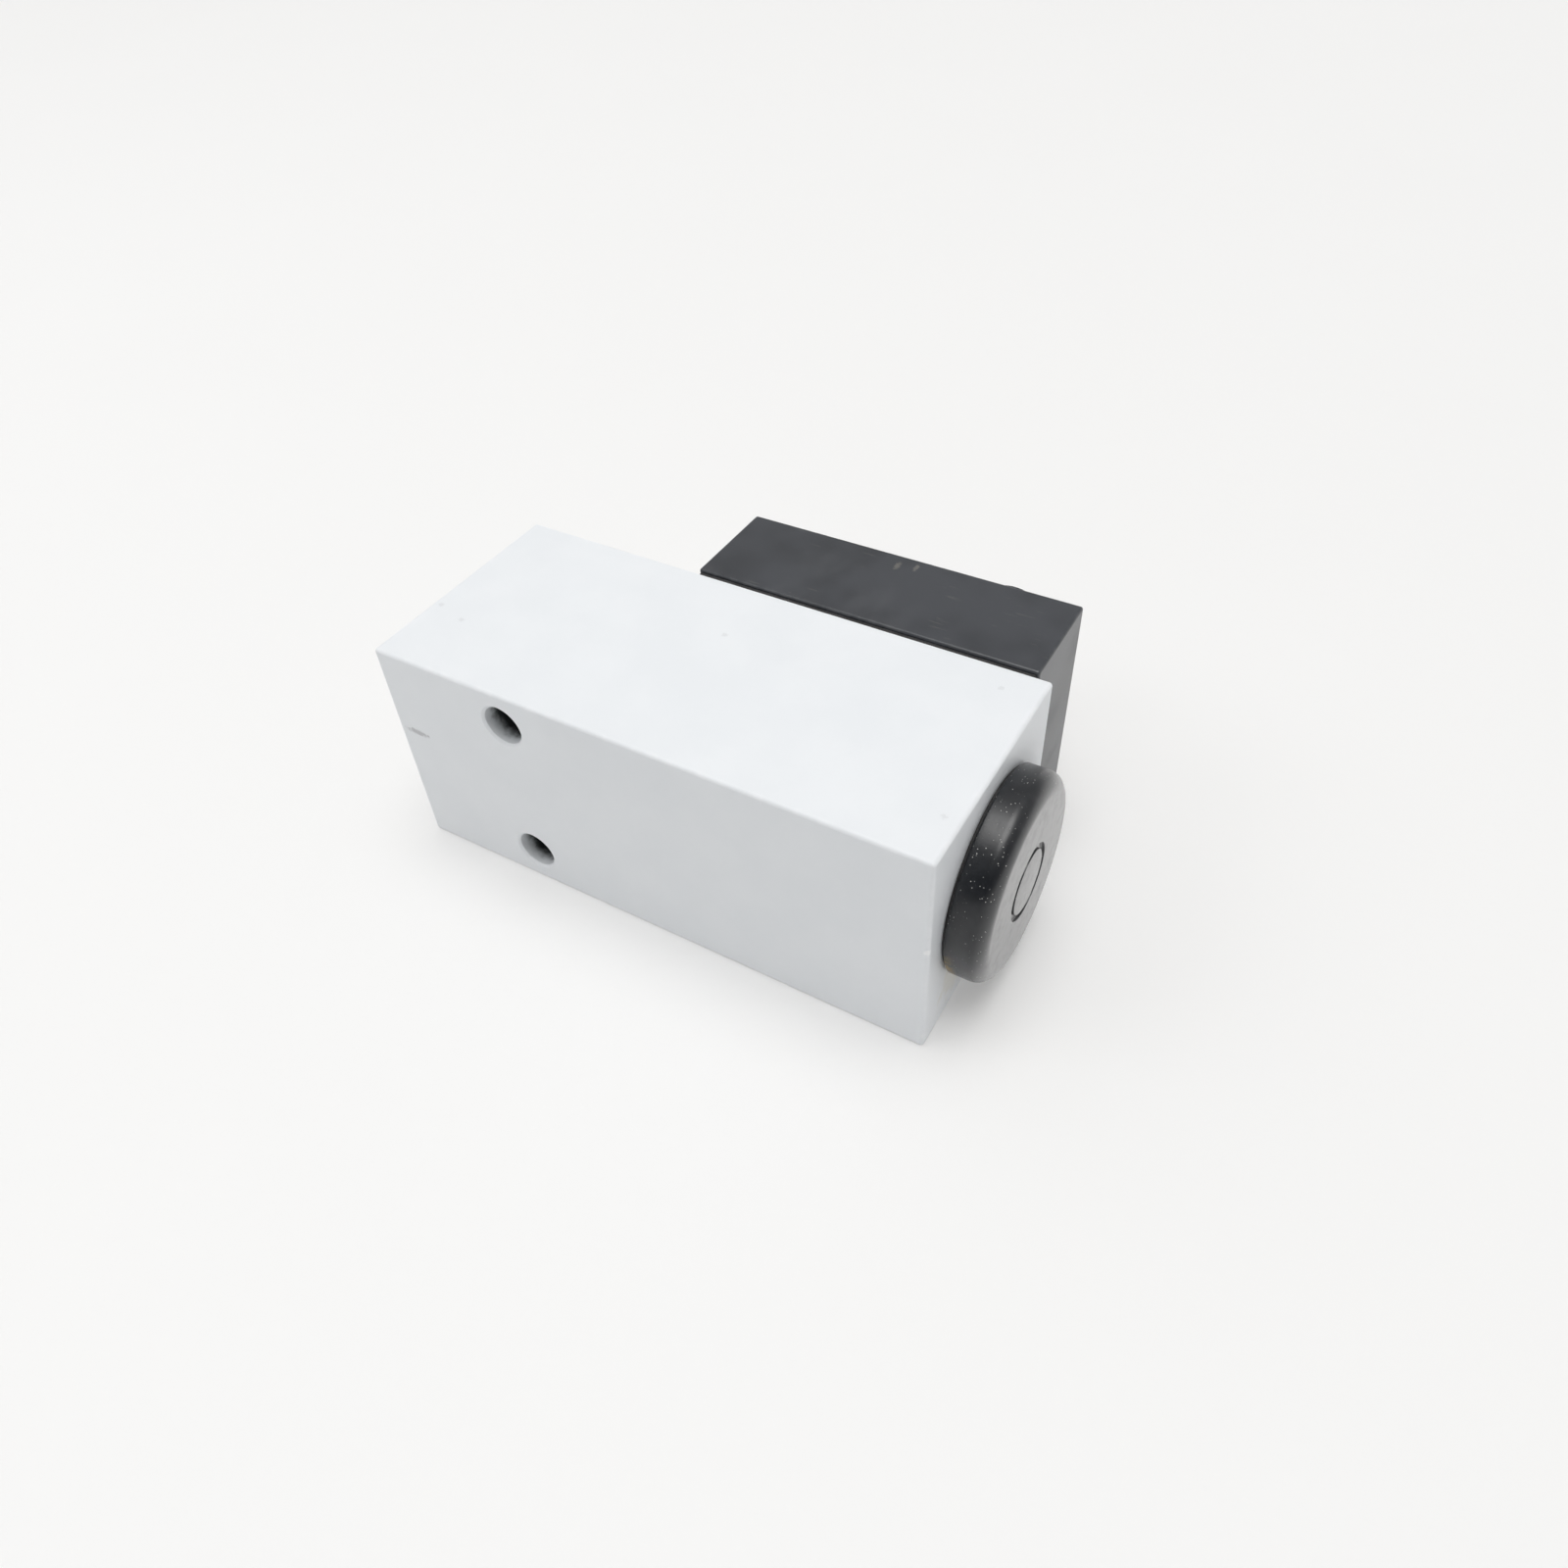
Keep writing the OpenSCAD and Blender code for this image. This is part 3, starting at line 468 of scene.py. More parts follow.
def white_ptfe():
    material, place = start_finish("white_ptfe", roughness=0.45, Subsurface_Weight=0.05,
                                   Subsurface_Scale=0.001)
    stain = smooth_step(grain(place, 1.2, 4.0), 0.5, 0.75)
    colour = tint(0.5 * stain, (0.84, 0.84, 0.82), (0.7, 0.66, 0.56))
    return wire_up(material, Base_Color=colour, Roughness=0.4 + 0.15 * stain,
                   Normal=relief(lathe_rings(place, "X", 0.1), 0.005))


print("a metal is two colours, a roughness and its tool marks")

# %% The metals
metals = {
    "brass": ((0.78, 0.57, 0.24), (0.55, 0.36, 0.14), 0.3, "X"),
    "ground_steel": ((0.62, 0.62, 0.61), (0.5, 0.49, 0.47), 0.24, "X", 0.07),
    "spring_steel": ((0.2, 0.19, 0.18), (0.09, 0.085, 0.08), 0.38),
    "zinc_steel": ((0.66, 0.69, 0.73), (0.66, 0.62, 0.5), 0.32),
    "turned_steel": ((0.56, 0.56, 0.56), (0.4, 0.39, 0.37), 0.34, "X", 0.16, 0.01),
    "stainless_sheet": ((0.6, 0.6, 0.6), (0.5, 0.5, 0.49), 0.36),
    "nickel_brass": ((0.74, 0.71, 0.64), (0.6, 0.56, 0.47), 0.26, "Y", 0.14),
    "gold_contact": ((0.95, 0.7, 0.3), (0.8, 0.52, 0.2), 0.22, None, 0.2, 0.003)}
for name, look in metals.items():
    finishes[name] = metal(name, *look)
finishes["white_ptfe"] = white_ptfe()
print("finishes:", ", ".join(sorted(finishes)))

# %% [markdown]
# ## Workshop helpers
# Most parts of a valve are turned on a lathe, so most meshes here are an outline spun about
# an axis.  Real parts have no perfectly sharp corner, so `soften` rounds each corner of the
# outline with a true arc first.  The rest are outlines pulled out to a thickness, or boxes
# with rounded edges, and holes are cut afterwards, as a drill would.

# %% Outlines, lathe and press
def spot(axis, centre, along, u, v):
    """A point `along` an axis that runs through `centre`, and u, v beside it; metres."""
    a, b = centre
    places = {"X": (along, a + u, b + v), "Y": (a + u, along, b + v), "Z": (a + u, b + v, along)}
    return Vector(places[axis]) * MM


def soften(outline, radius, steps=4):
    """Round the corners of a closed outline; a third number on a point is its own radius."""
    soft = []
    for i, corner in enumerate(outline):
        here = Vector(corner[:2])
        wanted = corner[2] if len(corner) > 2 else radius
        back = Vector(outline[i - 1][:2]) - here
        ahead = Vector(outline[(i + 1) % len(outline)][:2]) - here
        angle = back.angle(ahead, math.pi)
        if wanted <= 0 or angle > math.radians(175) or abs(here.y) < 1e-9 and len(corner) < 3:
            soft.append(here)
            continue
        reach = min(wanted / math.tan(angle / 2), 0.45 * back.length, 0.45 * ahead.length)
        true_radius = reach * math.tan(angle / 2)
        middle = (back.normalized() + ahead.normalized()).normalized()
        centre = here + middle * (true_radius / math.sin(angle / 2))
        start = here + back.normalized() * reach - centre
        swing = start.angle_signed(here + ahead.normalized() * reach - centre)
        for step in range(steps + 1):
            soft.append(centre + Matrix.Rotation(-swing * step / steps, 2) @ start)
    return soft


print("a right angle softened:", len(soften([(0, 1), (2, 1), (2, 3)], 0.2)), "points")


# %% The lathe
def finish_mesh(name, bm):
    """Close seams, point the faces outwards and hand back an object."""
    bmesh.ops.remove_doubles(bm, verts=bm.verts, dist=1e-7)
    bmesh.ops.recalc_face_normals(bm, faces=bm.faces)
    mesh = bpy.data.meshes.new(name)
    bm.to_mesh(mesh)
    bm.free()
    piece = bpy.data.objects.new(name, mesh)
    bpy.context.scene.collection.objects.link(piece)
    return piece


def spin(name, outline, centre, axis="X", segments=96):
    """Spin a closed (along, radius) outline, in millimetres, about an axis."""
    bm = bmesh.new()
    rings = []
    for along, radius in outline:
        count = segments if radius > 1e-9 else 1
        turns = [math.tau * k / segments for k in range(count)]
        ring = [bm.verts.new(spot(axis, centre, along, radius * math.cos(t), radius * math.sin(t)))
                for t in turns]
        rings.append(ring if count > 1 else ring * segments)
    for i, ring in enumerate(rings):
        other = rings[i - 1]
        for k in range(segments):
            n = (k + 1) % segments
            corners = list(dict.fromkeys((ring[k], ring[n], other[n], other[k])))
            if len(corners) > 2:
                bm.faces.new(corners)
    return finish_mesh(name, bm)


print("the lathe makes 96 sides unless it is told otherwise")


# %% The press and the rounded block
def press(name, outline, centre, axis, start, end):
    """Pull a closed outline, in millimetres, out along an axis from start to end."""
    bm = bmesh.new()
    ends = []
    for along in (start, end):
        ends.append([bm.verts.new(spot(axis, centre, along, u, v)) for u, v in outline])
        bm.faces.new(ends[-1])
    for i in range(len(outline)):
        bm.faces.new((ends[0][i - 1], ends[0][i], ends[1][i], ends[1][i - 1]))
    return finish_mesh(name, bm)


def block_of(name, low, high, radius, steps=5):
    """A box between two corners with every edge rounded."""
    bm = bmesh.new()
    bmesh.ops.create_cube(bm, size=1.0)
    for vert in bm.verts:
        share = vert.co + Vector((0.5, 0.5, 0.5))
        vert.co = Vector([l + (h - l) * s for l, h, s in zip(low, high, share)]) * MM
    if radius > 0:
        bmesh.ops.bevel(bm, geom=bm.edges[:], offset=radius * MM, segments=steps, profile=0.5,
                        affect="EDGES")
    return finish_mesh(name, bm)


def rod(start, end, radius):
    """The outline of a plain round rod, for `spin`."""
    return [(start, 0), (start, radius), (end, radius), (end, 0)]


def hexagon(across_flats):
    """Corners of a hexagon, as (u, v)."""
    radius = across_flats / 2 / math.cos(math.pi / 6)
    return [(radius * math.cos(math.tau * k / 6), radius * math.sin(math.tau * k / 6))
            for k in range(6)]


print("tools ready: spin, press, rounded block, rod and hexagon")

# %% [markdown]
# Modifiers do the cutting and joining.  They are *settled* at once: the evaluated mesh is
# copied back as plain mesh, so nothing is left live on a finished piece.  Faces that a
# cutter makes take the cutter's own material, which leaves drilled bores bare inside a
# painted block.

# %% Settle and combine
def settle(piece, sharp=32):
    """Turn live modifiers into plain mesh, and shade it smooth except across real corners."""
    graph = bpy.context.evaluated_depsgraph_get()
    mesh = bpy.data.meshes.new_from_object(piece.evaluated_get(graph))
    piece.modifiers.clear()
    plain = piece.data
    piece.data = mesh
    bpy.data.meshes.remove(plain)
    mesh.name = piece.name
    mesh.shade_smooth()
    mesh.set_sharp_from_angle(angle=math.radians(sharp))
    return piece


def combine(piece, others, operation="DIFFERENCE"):
    """Cut others out of a piece, or join them to it, and use them up."""
    shelf = bpy.data.collections.new("shelf")
    for other in others:
        bpy.context.scene.collection.objects.unlink(other)
        shelf.objects.link(other)
    tool = piece.modifiers.new("combine", "BOOLEAN")
    tool.operation = operation
    tool.operand_type = "COLLECTION"
    tool.collection = shelf
    tool.solver = "EXACT"
    tool.material_mode = "TRANSFER"
    settle(piece)
    for other in others:
        bpy.data.objects.remove(other)
    bpy.data.collections.remove(shelf)
    return piece


print("solids are cut with the exact solver")


# %% Ease, shade and clothe
def ease(piece, width, steps=2, angle=32):
    """Take the sharpness off every real corner."""
    bevel = piece.modifiers.new("ease", "BEVEL")
    bevel.width = width * MM
    bevel.segments = steps
    bevel.limit_method = "ANGLE"
    bevel.angle_limit = math.radians(angle)
    bevel.use_clamp_overlap = True
    return settle(piece)


def even_shading(piece):
    """Let large flat faces decide the shading beside a rounded edge."""
    weighted = piece.modifiers.new("even", "WEIGHTED_NORMAL")
    weighted.keep_sharp = True
    weighted.weight = 80
    graph = bpy.context.evaluated_depsgraph_get()
    mesh = bpy.data.meshes.new_from_object(piece.evaluated_get(graph))
    piece.modifiers.clear()
    piece.data = mesh
    return piece


def wear(piece, *finish_names):
    """Give a piece its materials, the first one outside."""
    for name in finish_names:
        piece.data.materials.append(finishes[name])
    return piece


def drill(name, finish, outline, centre, axis="X", segments=96):
    """A spun solid that wears a finish, to cut with."""
    return wear(spin(name, outline, centre, axis, segments), finish)


print("a drill is a spun solid that wears a finish")

# %% [markdown]
# ## Fitting a piece to the frame
# Every finished piece goes through one gate.  It hides the engineering nodes it stands for,
# takes its finish from the first of them, and rides on the same moving body.

# %% Fit a piece
placed = []


def fit(piece, *nodes, rides=True):
    """The piece stands in for these nodes, with their finish, and rides on their body."""
    first = nodes[0]
    if not piece.data.materials:
        wear(piece, slot_of[first])
    even_shading(piece)
    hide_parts(*nodes)
    if rides:
        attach(piece, body_of[first])
    placed.extend(nodes)
    print(f"{piece.name}: {len(piece.data.polygons)} faces, stands for {', '.join(nodes)}")
    return piece


# %% [markdown]
# ## Rules that repeat: Geometry Nodes
# A screw thread is one rule followed for many turns, and screws and pins are one shape set
# out at several places.  Geometry Nodes describe both.  Each tree has named inputs, which
# are set by their identifiers, and its result is copied out as a plain mesh.

# %% Build and run a node tree
def new_tree(name, inputs):
    """An empty tree with a geometry input and the named ones; returns it and its signals."""
    tree = bpy.data.node_groups.new(name, "GeometryNodeTree")
    tree.interface.new_socket("Geometry", in_out="INPUT", socket_type="NodeSocketGeometry")
    tree.interface.new_socket("Geometry", in_out="OUTPUT", socket_type="NodeSocketGeometry")
    for label, kind in inputs.items():
        tree.interface.new_socket(label, in_out="INPUT", socket_type=f"NodeSocket{kind}")
    gate = tree.nodes.new("NodeGroupInput")
    return tree, {s.name: Signal(tree, s) for s in gate.outputs if s.name}


def end_tree(shape, material):
    """Close a tree: instances made real, the material set."""
    real = shape.node("GeometryNodeRealizeInstances", None, {0: shape})
    worn = real.node("GeometryNodeSetMaterial", None, {"Geometry": real, "Material": material})
    gate = shape.tree.nodes.new("NodeGroupOutput")
    shape.tree.links.new(worn.socket, gate.inputs[0])


def run_tree(name, tree, points=(), **values):
    """Run a tree on some points and bring the result back as a plain mesh object."""
    seed = bpy.data.meshes.new(f"{name}_seed")
    seed.from_pydata([tuple(Vector(p) * MM) for p in points], [], [])
    carrier = bpy.data.objects.new(f"{name}_seed", seed)
    bpy.context.scene.collection.objects.link(carrier)
    maker = carrier.modifiers.new("maker", "NODES")
    maker.node_group = tree
    names = {s.name: s.identifier for s in tree.interface.items_tree if s.in_out == "INPUT"}
    for label, value in values.items():
        maker[names[label.replace("_", " ")]] = value
    graph = bpy.context.evaluated_depsgraph_get()
    mesh = bpy.data.meshes.new_from_object(carrier.evaluated_get(graph))
    bpy.data.objects.remove(carrier)
    mesh.name = name
    piece = bpy.data.objects.new(name, mesh)
    bpy.context.scene.collection.objects.link(piece)
    return piece


print("node trees can be built, ended and run")

# %% [markdown]
# A thread wraps a flat grid round a rod.  One side of the grid runs along the rod and the
# other goes round it.  How far a point is sunk depends only on where it lies in the pitch,
# and that place slips by one pitch for each turn, which is what makes the groove a helix.

# %% The thread tree
thread_tree, given = new_tree("thread", {
    "Radius": "Float", "Depth": "Float", "Pitch": "Float", "Length": "Float",
    "Rings": "Int", "Sides": "Int", "Hand": "Float", "Material": "Material"})
rings = given["Rings"]
grid = rings.node("GeometryNodeMeshGrid", None,
                  {"Size X": 1.0, "Size Y": 1.0, "Vertices X": rings, "Vertices Y": given["Sides"]})
corner_x, corner_y = parts_of(grid.node("GeometryNodeInputPosition"))[:2]
share_along = corner_x + 0.5
angle = (corner_y + 0.5) * math.tau
along = share_along * given["Length"]
phase = along / given["Pitch"] - given["Hand"] * angle / math.tau
wave = abs(phase.sum("FRACT", phase) * 2 - 1)
groove = wave.node("ShaderNodeClamp", None,
                   {"Value": wave * 1.35 - 0.2, "Min": 0.0, "Max": 1.0})
run_in = along / given["Pitch"]
run_out = (given["Length"] - along) / given["Pitch"]
fade = run_in.sum("MINIMUM", run_in.sum("MINIMUM", run_in, run_out), 1.0)
radius = given["Radius"] - given["Depth"] * groove * fade
bent = radius.node("ShaderNodeCombineXYZ", None,
                   {"X": along, "Y": radius * angle.sum("COSINE", angle),
                    "Z": radius * angle.sum("SINE", angle)})
wrapped = bent.node("GeometryNodeSetPosition", None, {"Geometry": grid, "Position": bent})
joined = wrapped.node("GeometryNodeMergeByDistance", None,
                      {"Geometry": wrapped, "Distance": 1e-6})
end_tree(joined, given["Material"])
print("thread tree:", len(thread_tree.nodes), "nodes")


# %% A threaded rod
def threaded_rod(name, centre, axis, start, end, radius, depth, pitch, finish, sides=72, fine=10):
    """A solid round rod with a helical thread, closed at both ends."""
    length = end - start
    threaded = run_tree(name, thread_tree, Radius=radius * MM, Depth=depth * MM, Pitch=pitch * MM,
                        Length=length * MM, Rings=int(length / pitch * fine), Sides=sides + 1,
                        Hand=1.0, Material=finishes[finish])
    bm = bmesh.new()
    bm.from_mesh(threaded.data)
    for vert in bm.verts:
        x, u, v = vert.co / MM
        vert.co = spot(axis, centre, start + x, u, v)
    bmesh.ops.holes_fill(bm, edges=[e for e in bm.edges if e.is_boundary])
    bmesh.ops.recalc_face_normals(bm, faces=bm.faces)
    bm.to_mesh(threaded.data)
    bm.free()
    return threaded


print("a threaded rod is closed at both ends and can cut or be cut")

# %% [markdown]
# ## The block
# The block is sawn from square bar, drilled from all sides, then painted, and its sealing
# face and bores are machined bare again.  Here a rounded box plays the bar, and solids of
# revolution play the drills: one for the mounting holes, one for the stepped bore that runs
# along the axis, and a threaded rod that leaves a real thread in the port.

# %% Sizes of the block, in millimetres
block_low, block_high = span("monoblock_body")
valve_axis = ((block_low.y + block_high.y) / 2, (block_low.z + block_high.z) / 2)
port_end = block_low.x
edge_radius = 0.5
chamfer = 0.3
chamber_radius = 10.0
past = 1.0
print("block:", [round(v, 2) for v in block_high - block_low], "mm, axis at", valve_axis)

# %% Drill the mounting holes
block = wear(block_of("block", block_low, block_high, edge_radius, 6), "powder_coat")
mouth_radius = bolt_radius + chamfer + past
bolt_outline = [(block_low.y - past, 0), (block_low.y - past, mouth_radius),
                (block_low.y + chamfer, bolt_radius), (block_high.y - chamfer, bolt_radius),
                (block_high.y + past, mouth_radius), (block_high.y + past, 0)]
drills = [drill("bolt_drill", "powder_coat", bolt_outline, (0.0, side * bolt_height), "Y", 72)
          for side in (-1, 1)]
print("mounting holes:", 2 * bolt_radius, "mm across and", 2 * bolt_height, "mm apart")

# %% [markdown]
# The port is a spot face, which is the flat ring a washer seals on, and then a tapped hole.
# A threaded rod is used as the tap, so what it leaves behind is a true inside thread.

# %% Tap the port
port_radius = 6.58
port_thread_depth = 0.86
port_pitch = 1.337
port_depth = 12.0
face_radius = 10.0
face_x = port_end + 0.4
spot_face = [(port_end - past, 0), (port_end - past, face_radius), (face_x, face_radius),
             (face_x, port_radius + 0.7), (face_x + 1.5, port_radius - 0.8), (port_end + 2.0, 0)]
drills.append(drill("spot_face", "ground_steel", spot_face, valve_axis))
drills.append(threaded_rod("port_tap", valve_axis, "X", face_x, port_end + port_depth,
                           port_radius, port_thread_depth, port_pitch, "ground_steel"))
print("port thread:", 2 * port_radius, "mm across,", round(25.4 / port_pitch), "turns to an inch")

# %% [markdown]
# The main bore is stepped.  From the port inwards it is a narrow passage, the seat of the
# guide sleeve, and the wide spring chamber, with a groove for the snap ring near its mouth.

# %% Bore the steps
sleeve_low, sleeve_high = span("guide_sleeve")
clip_low, clip_high = span("retaining_ring")
passage_radius = 2.0
sleeve_bore = 5.5
clip_groove = 10.6
slack = 0.02
bore_steps = [
    (port_end + port_depth - past, 0), (port_end + port_depth - past, passage_radius),
    (sleeve_low.x - slack, passage_radius), (sleeve_low.x - slack, sleeve_bore),
    (sleeve_high.x, sleeve_bore), (sleeve_high.x, chamber_radius),
    (clip_low.x - slack, chamber_radius), (clip_low.x - slack, clip_groove),
    (clip_high.x + slack, clip_groove), (clip_high.x + slack, chamber_radius),
    (block_high.x - chamfer, chamber_radius),
    (block_high.x + past, chamber_radius + chamfer + past), (block_high.x + past, 0)]
drills.append(drill("stepped_bore", "turned_steel", bore_steps, valve_axis, "X", 128))
print("bore:", len(bore_steps), "points, chamber", 2 * chamber_radius, "mm across")

# %% [markdown]
# A window lets the switch lever reach the spring plate, and four small tapped holes in the
# back hold the housing.  All the drills are then taken out of the bar in one go.

# %% Open the window, drill the back and cut
window = block_of("lever_window", (14.2, valve_axis[0], -3.2), (20.8, block_high.y + past, 3.2),
                  0.0)
drills.append(wear(window, "ground_steel"))
housing_low, housing_high = span("switch_housing")
screw_inset = 4.3
screw_spots = [(x, z) for x in (housing_low.x + screw_inset, housing_high.x - screw_inset)
               for z in (block_low.z + screw_inset, block_high.z - screw_inset)]
tapping_radius = 1.52
tapping_depth = 5
tapped = rod(block_high.y - tapping_depth, block_high.y + past, tapping_radius)
drills += [drill("tapped_hole", "ground_steel", tapped, place, "Y", 32) for place in screw_spots]
combine(block, drills)
fit(block, "monoblock_body")

# %% [markdown]
# ## The end cap
# The cap is a thin moulded cup that plugs the adjusting bore.  Seen from the side it is a
# flat face that falls away in one big round, so an outline with its own radius at that
# corner gives the whole form in one spin.  The shallow ring on its face is part of the
# outline too, and so is the small bead that makes the spigot snap into the bore.

# %% Turn the cap
cap_low, cap_high = span("adjuster_cap")
seal_low, seal_high = span("cap_seal")
cap_radius = (cap_high.y - cap_low.y) / 2
cap_round = 3.7
spigot_radius = 9.95
spigot_wall = 1.5
roof = 2.0
mark_radius = 4.9
mark_width = 0.8
mark_depth = 0.35
inner = spigot_radius - spigot_wall
neck_radius = spigot_radius - 0.15
cap_outline = [
    (cap_low.x, inner, 0.2), (cap_low.x, spigot_radius - 0.25, 0.2),
    (cap_low.x + 0.7, spigot_radius, 0.3), (cap_low.x + 1.4, spigot_radius, 0.3),
    (cap_low.x + 2.1, neck_radius, 0.3), (seal_high.x, neck_radius, 0.0),
    (seal_high.x, cap_radius, 0.25), (cap_high.x, cap_radius, cap_round),
    (cap_high.x, mark_radius, 0.08), (cap_high.x - mark_depth, mark_radius - 0.05, 0.05),
    (cap_high.x - mark_depth, mark_radius - mark_width + 0.05, 0.05),
    (cap_high.x, mark_radius - mark_width, 0.08), (cap_high.x, 0.0),
    (cap_high.x - roof, 0.0), (cap_high.x - roof, inner, 0.4)]


def turn_part(name, node, outline, radius=0.1, steps=3, segments=96, sharp=30):
    """A part turned about the valve's axis from its outline, fitted in place of a node."""
    blank = spin(name, soften(outline, radius, steps), valve_axis, "X", segments)
    return fit(settle(blank, sharp), node)


turn_part("end_cap", "adjuster_cap", cap_outline, 0.1, 10, 160, 40)

# %% [markdown]
# A flat rubber ring lies between the cap and the block and keeps water out.  It is a small
# rectangle with softened corners, spun like the cap.

# %% Turn the cap's ring
def washer(low, high, inside, outside):
    """The outline of a flat ring between two places on the axis."""
    return [(low, inside), (low, outside), (high, outside), (high, inside)]


ring_inside = 9.97
ring_outside = 12.6
turn_part("cap_ring", "cap_seal", washer(seal_low.x, seal_high.x, ring_inside, ring_outside),
          0.12, 3, 160, 40)

# %% [markdown]
# ## The switch housing
# A hollow box with rounded edges, open towards the block.  The four screws sit in
# counterbores on its back, and the connector comes through a round hole.  Bosses stay
# standing in the corners of the hollow: the cavity is pressed out in a shape that goes
# round them.

# %% Hollow the housing
wall = 1.6
boss_radius = 3.2
hollow = block_of("hollow", (housing_low.x + wall, housing_low.y - past, housing_low.z + wall),
                  (housing_high.x - wall, housing_high.y - wall, housing_high.z - wall), 0.0)
boss = rod(housing_low.y - 2 * past, housing_high.y, boss_radius)
combine(hollow, [spin("boss", boss, place, "Y", 48) for place in screw_spots])
cutters = [wear(hollow, "housing_plastic")]
print("hollow with", len(screw_spots), "bosses, wall", wall, "mm")

# %% Drill the housing
housing = wear(block_of("housing", housing_low, housing_high, 0.4, 6), "housing_plastic")
head_room = 2.95
counterbore = 2.8
screw_room = 1.7
break_edge = 0.25
shell_low, shell_high = span("connector_shell")
connector_axis = ((shell_low.x + shell_high.x) / 2, (shell_low.z + shell_high.z) / 2)
head_seat = housing_high.y - counterbore
screw_hole = [
    (housing_low.y - past, 0), (housing_low.y - past, screw_room), (head_seat, screw_room),
    (head_seat, head_room), (housing_high.y - break_edge, head_room),
    (housing_high.y + past, head_room + break_edge + past), (housing_high.y + past, 0)]
cutters += [drill("counterbore", "housing_plastic", screw_hole, place, "Y", 64)
            for place in screw_spots]
collar_hole = rod(housing_high.y - wall - past, housing_high.y + past, 6.02)
cutters.append(drill("collar_hole", "housing_plastic", collar_hole, connector_axis, "Y"))
combine(housing, cutters)
fit(housing, "switch_housing")

# %% [markdown]
# The gasket is a flat rubber frame between the housing and the block.  Round pads stay in its
# corners, and the screws pass through them, so the opening is cut in a shape that goes round
# the pads.

# %% Press the gasket
gasket_low, gasket_high = span("housing_gasket")
gasket = wear(block_of("gasket", gasket_low, gasket_high, 0.2, 3), "black_rubber")
rim = 2.4
opening = block_of("opening", (housing_low.x + rim, gasket_low.y - past, housing_low.z + rim),
                   (housing_high.x - rim, gasket_high.y + past, housing_high.z - rim), 0.0)


def gasket_rods(radius):
    """A rod through the gasket at every screw."""
    outline = rod(gasket_low.y - 2 * past, gasket_high.y + 2 * past, radius)
    return [drill("pad", "black_rubber", outline, place, "Y", 48) for place in screw_spots]


combine(opening, gasket_rods(boss_radius))
combine(gasket, [wear(opening, "black_rubber")] + gasket_rods(screw_room))
fit(gasket, "housing_gasket")

# %% [markdown]
# ## Screws
# A screw is made once as a blank: a turned head with a cross pressed into it, and a shank
# with a real thread.  A small tree then sets the blank out at every place it is needed, so
# four screws cost one description.

# %% The setting-out tree
set_out_tree, given = new_tree("set_out", {"Blank": "Object", "Material": "Material"})
blank_shape = given["Blank"].node("GeometryNodeObjectInfo", {"transform_space": "ORIGINAL"},
                                  {"Object": given["Blank"]}, "Geometry")
spots = given["Geometry"].node("GeometryNodeMeshToPoints", None, {"Mesh": given["Geometry"]})
copies = spots.node("GeometryNodeInstanceOnPoints", None,
                    {"Points": spots, "Instance": blank_shape})
end_tree(copies, given["Material"])
print("setting-out tree:", len(set_out_tree.nodes), "nodes")


# %% Set out a blank, and make one
def set_out(name, blank, places, finish):
    """Copies of a blank at each place, as one plain mesh; the blank is used up."""
    piece = run_tree(name, set_out_tree, places, Blank=blank, Material=finishes[finish])
    bpy.data.objects.remove(blank)
    piece.data.shade_smooth()
    piece.data.set_sharp_from_angle(angle=math.radians(32))
    return piece


def screw_blank(axis, thread_radius, shank, head_radius, head_height, pitch, finish, slot):
    """A screw whose head's underside is at 0 and whose shank points to the negative side."""
    outline = [(0.0, 0.0), (0.0, head_radius, 0.1), (head_height, head_radius * 0.97, 0.45),
               (head_height, 0.0)]
    head = wear(spin("head", soften(outline, 0.1, 5), (0, 0), axis, 64), finish)
    thread = threaded_rod("shank", (0, 0), axis, -shank, 0.2, thread_radius, 0.6 * pitch, pitch,
                          finish, 32, 6)
    combine(head, [thread], "UNION")
    arms = []
    for quarter in (0, 1):
        long, short = head_radius * 0.6, slot / 2
        u, v = (long, short) if quarter == 0 else (short, long)
        cross = [(-u, -v), (u, -v), (u, v), (-u, v)]
        arms.append(wear(press("arm", cross, (0, 0), axis, head_height * 0.45, head_height + 1),
                         finish))
    return combine(head, arms)


print("a blank has a turned head, a pressed cross and a threaded shank")

# %% [markdown]
# Four screws hold the housing down from behind.  Their heads sit at the bottom of the
# counterbores and their shanks reach into the tapped holes of the block.

# %% Set out the cover screws
screw_tip = span("housing_screws")[0].y
blank = screw_blank("Y", 1.5, head_seat - screw_tip, 2.75, 2.2, 0.5, "zinc_steel", 0.9)
cover_screws = set_out("cover_screws", blank, [(x, head_seat, z) for x, z in screw_spots],
                       "zinc_steel")
fit(cover_screws, "housing_screws")

# %% [markdown]
# Two pairs of smaller screws work inside the housing.  One pair holds the bracket to the
# block, and the other runs across the microswitch and holds it to the bracket.

# %% Set out the small screws
bracket_low, bracket_high = span("bracket_screws")
bracket_head = 1.8
bracket_seat = block_high.y + 1.0
bracket_spots = [(x, bracket_seat, 0)
                 for x in (bracket_low.x + bracket_head, bracket_high.x - bracket_head)]
blank = screw_blank("Y", 1.0, bracket_seat - bracket_low.y, bracket_head, 1.4, 0.4,
                    "zinc_steel", 0.5)
fit(set_out("foot_screws", blank, bracket_spots, "zinc_steel"), "bracket_screws")

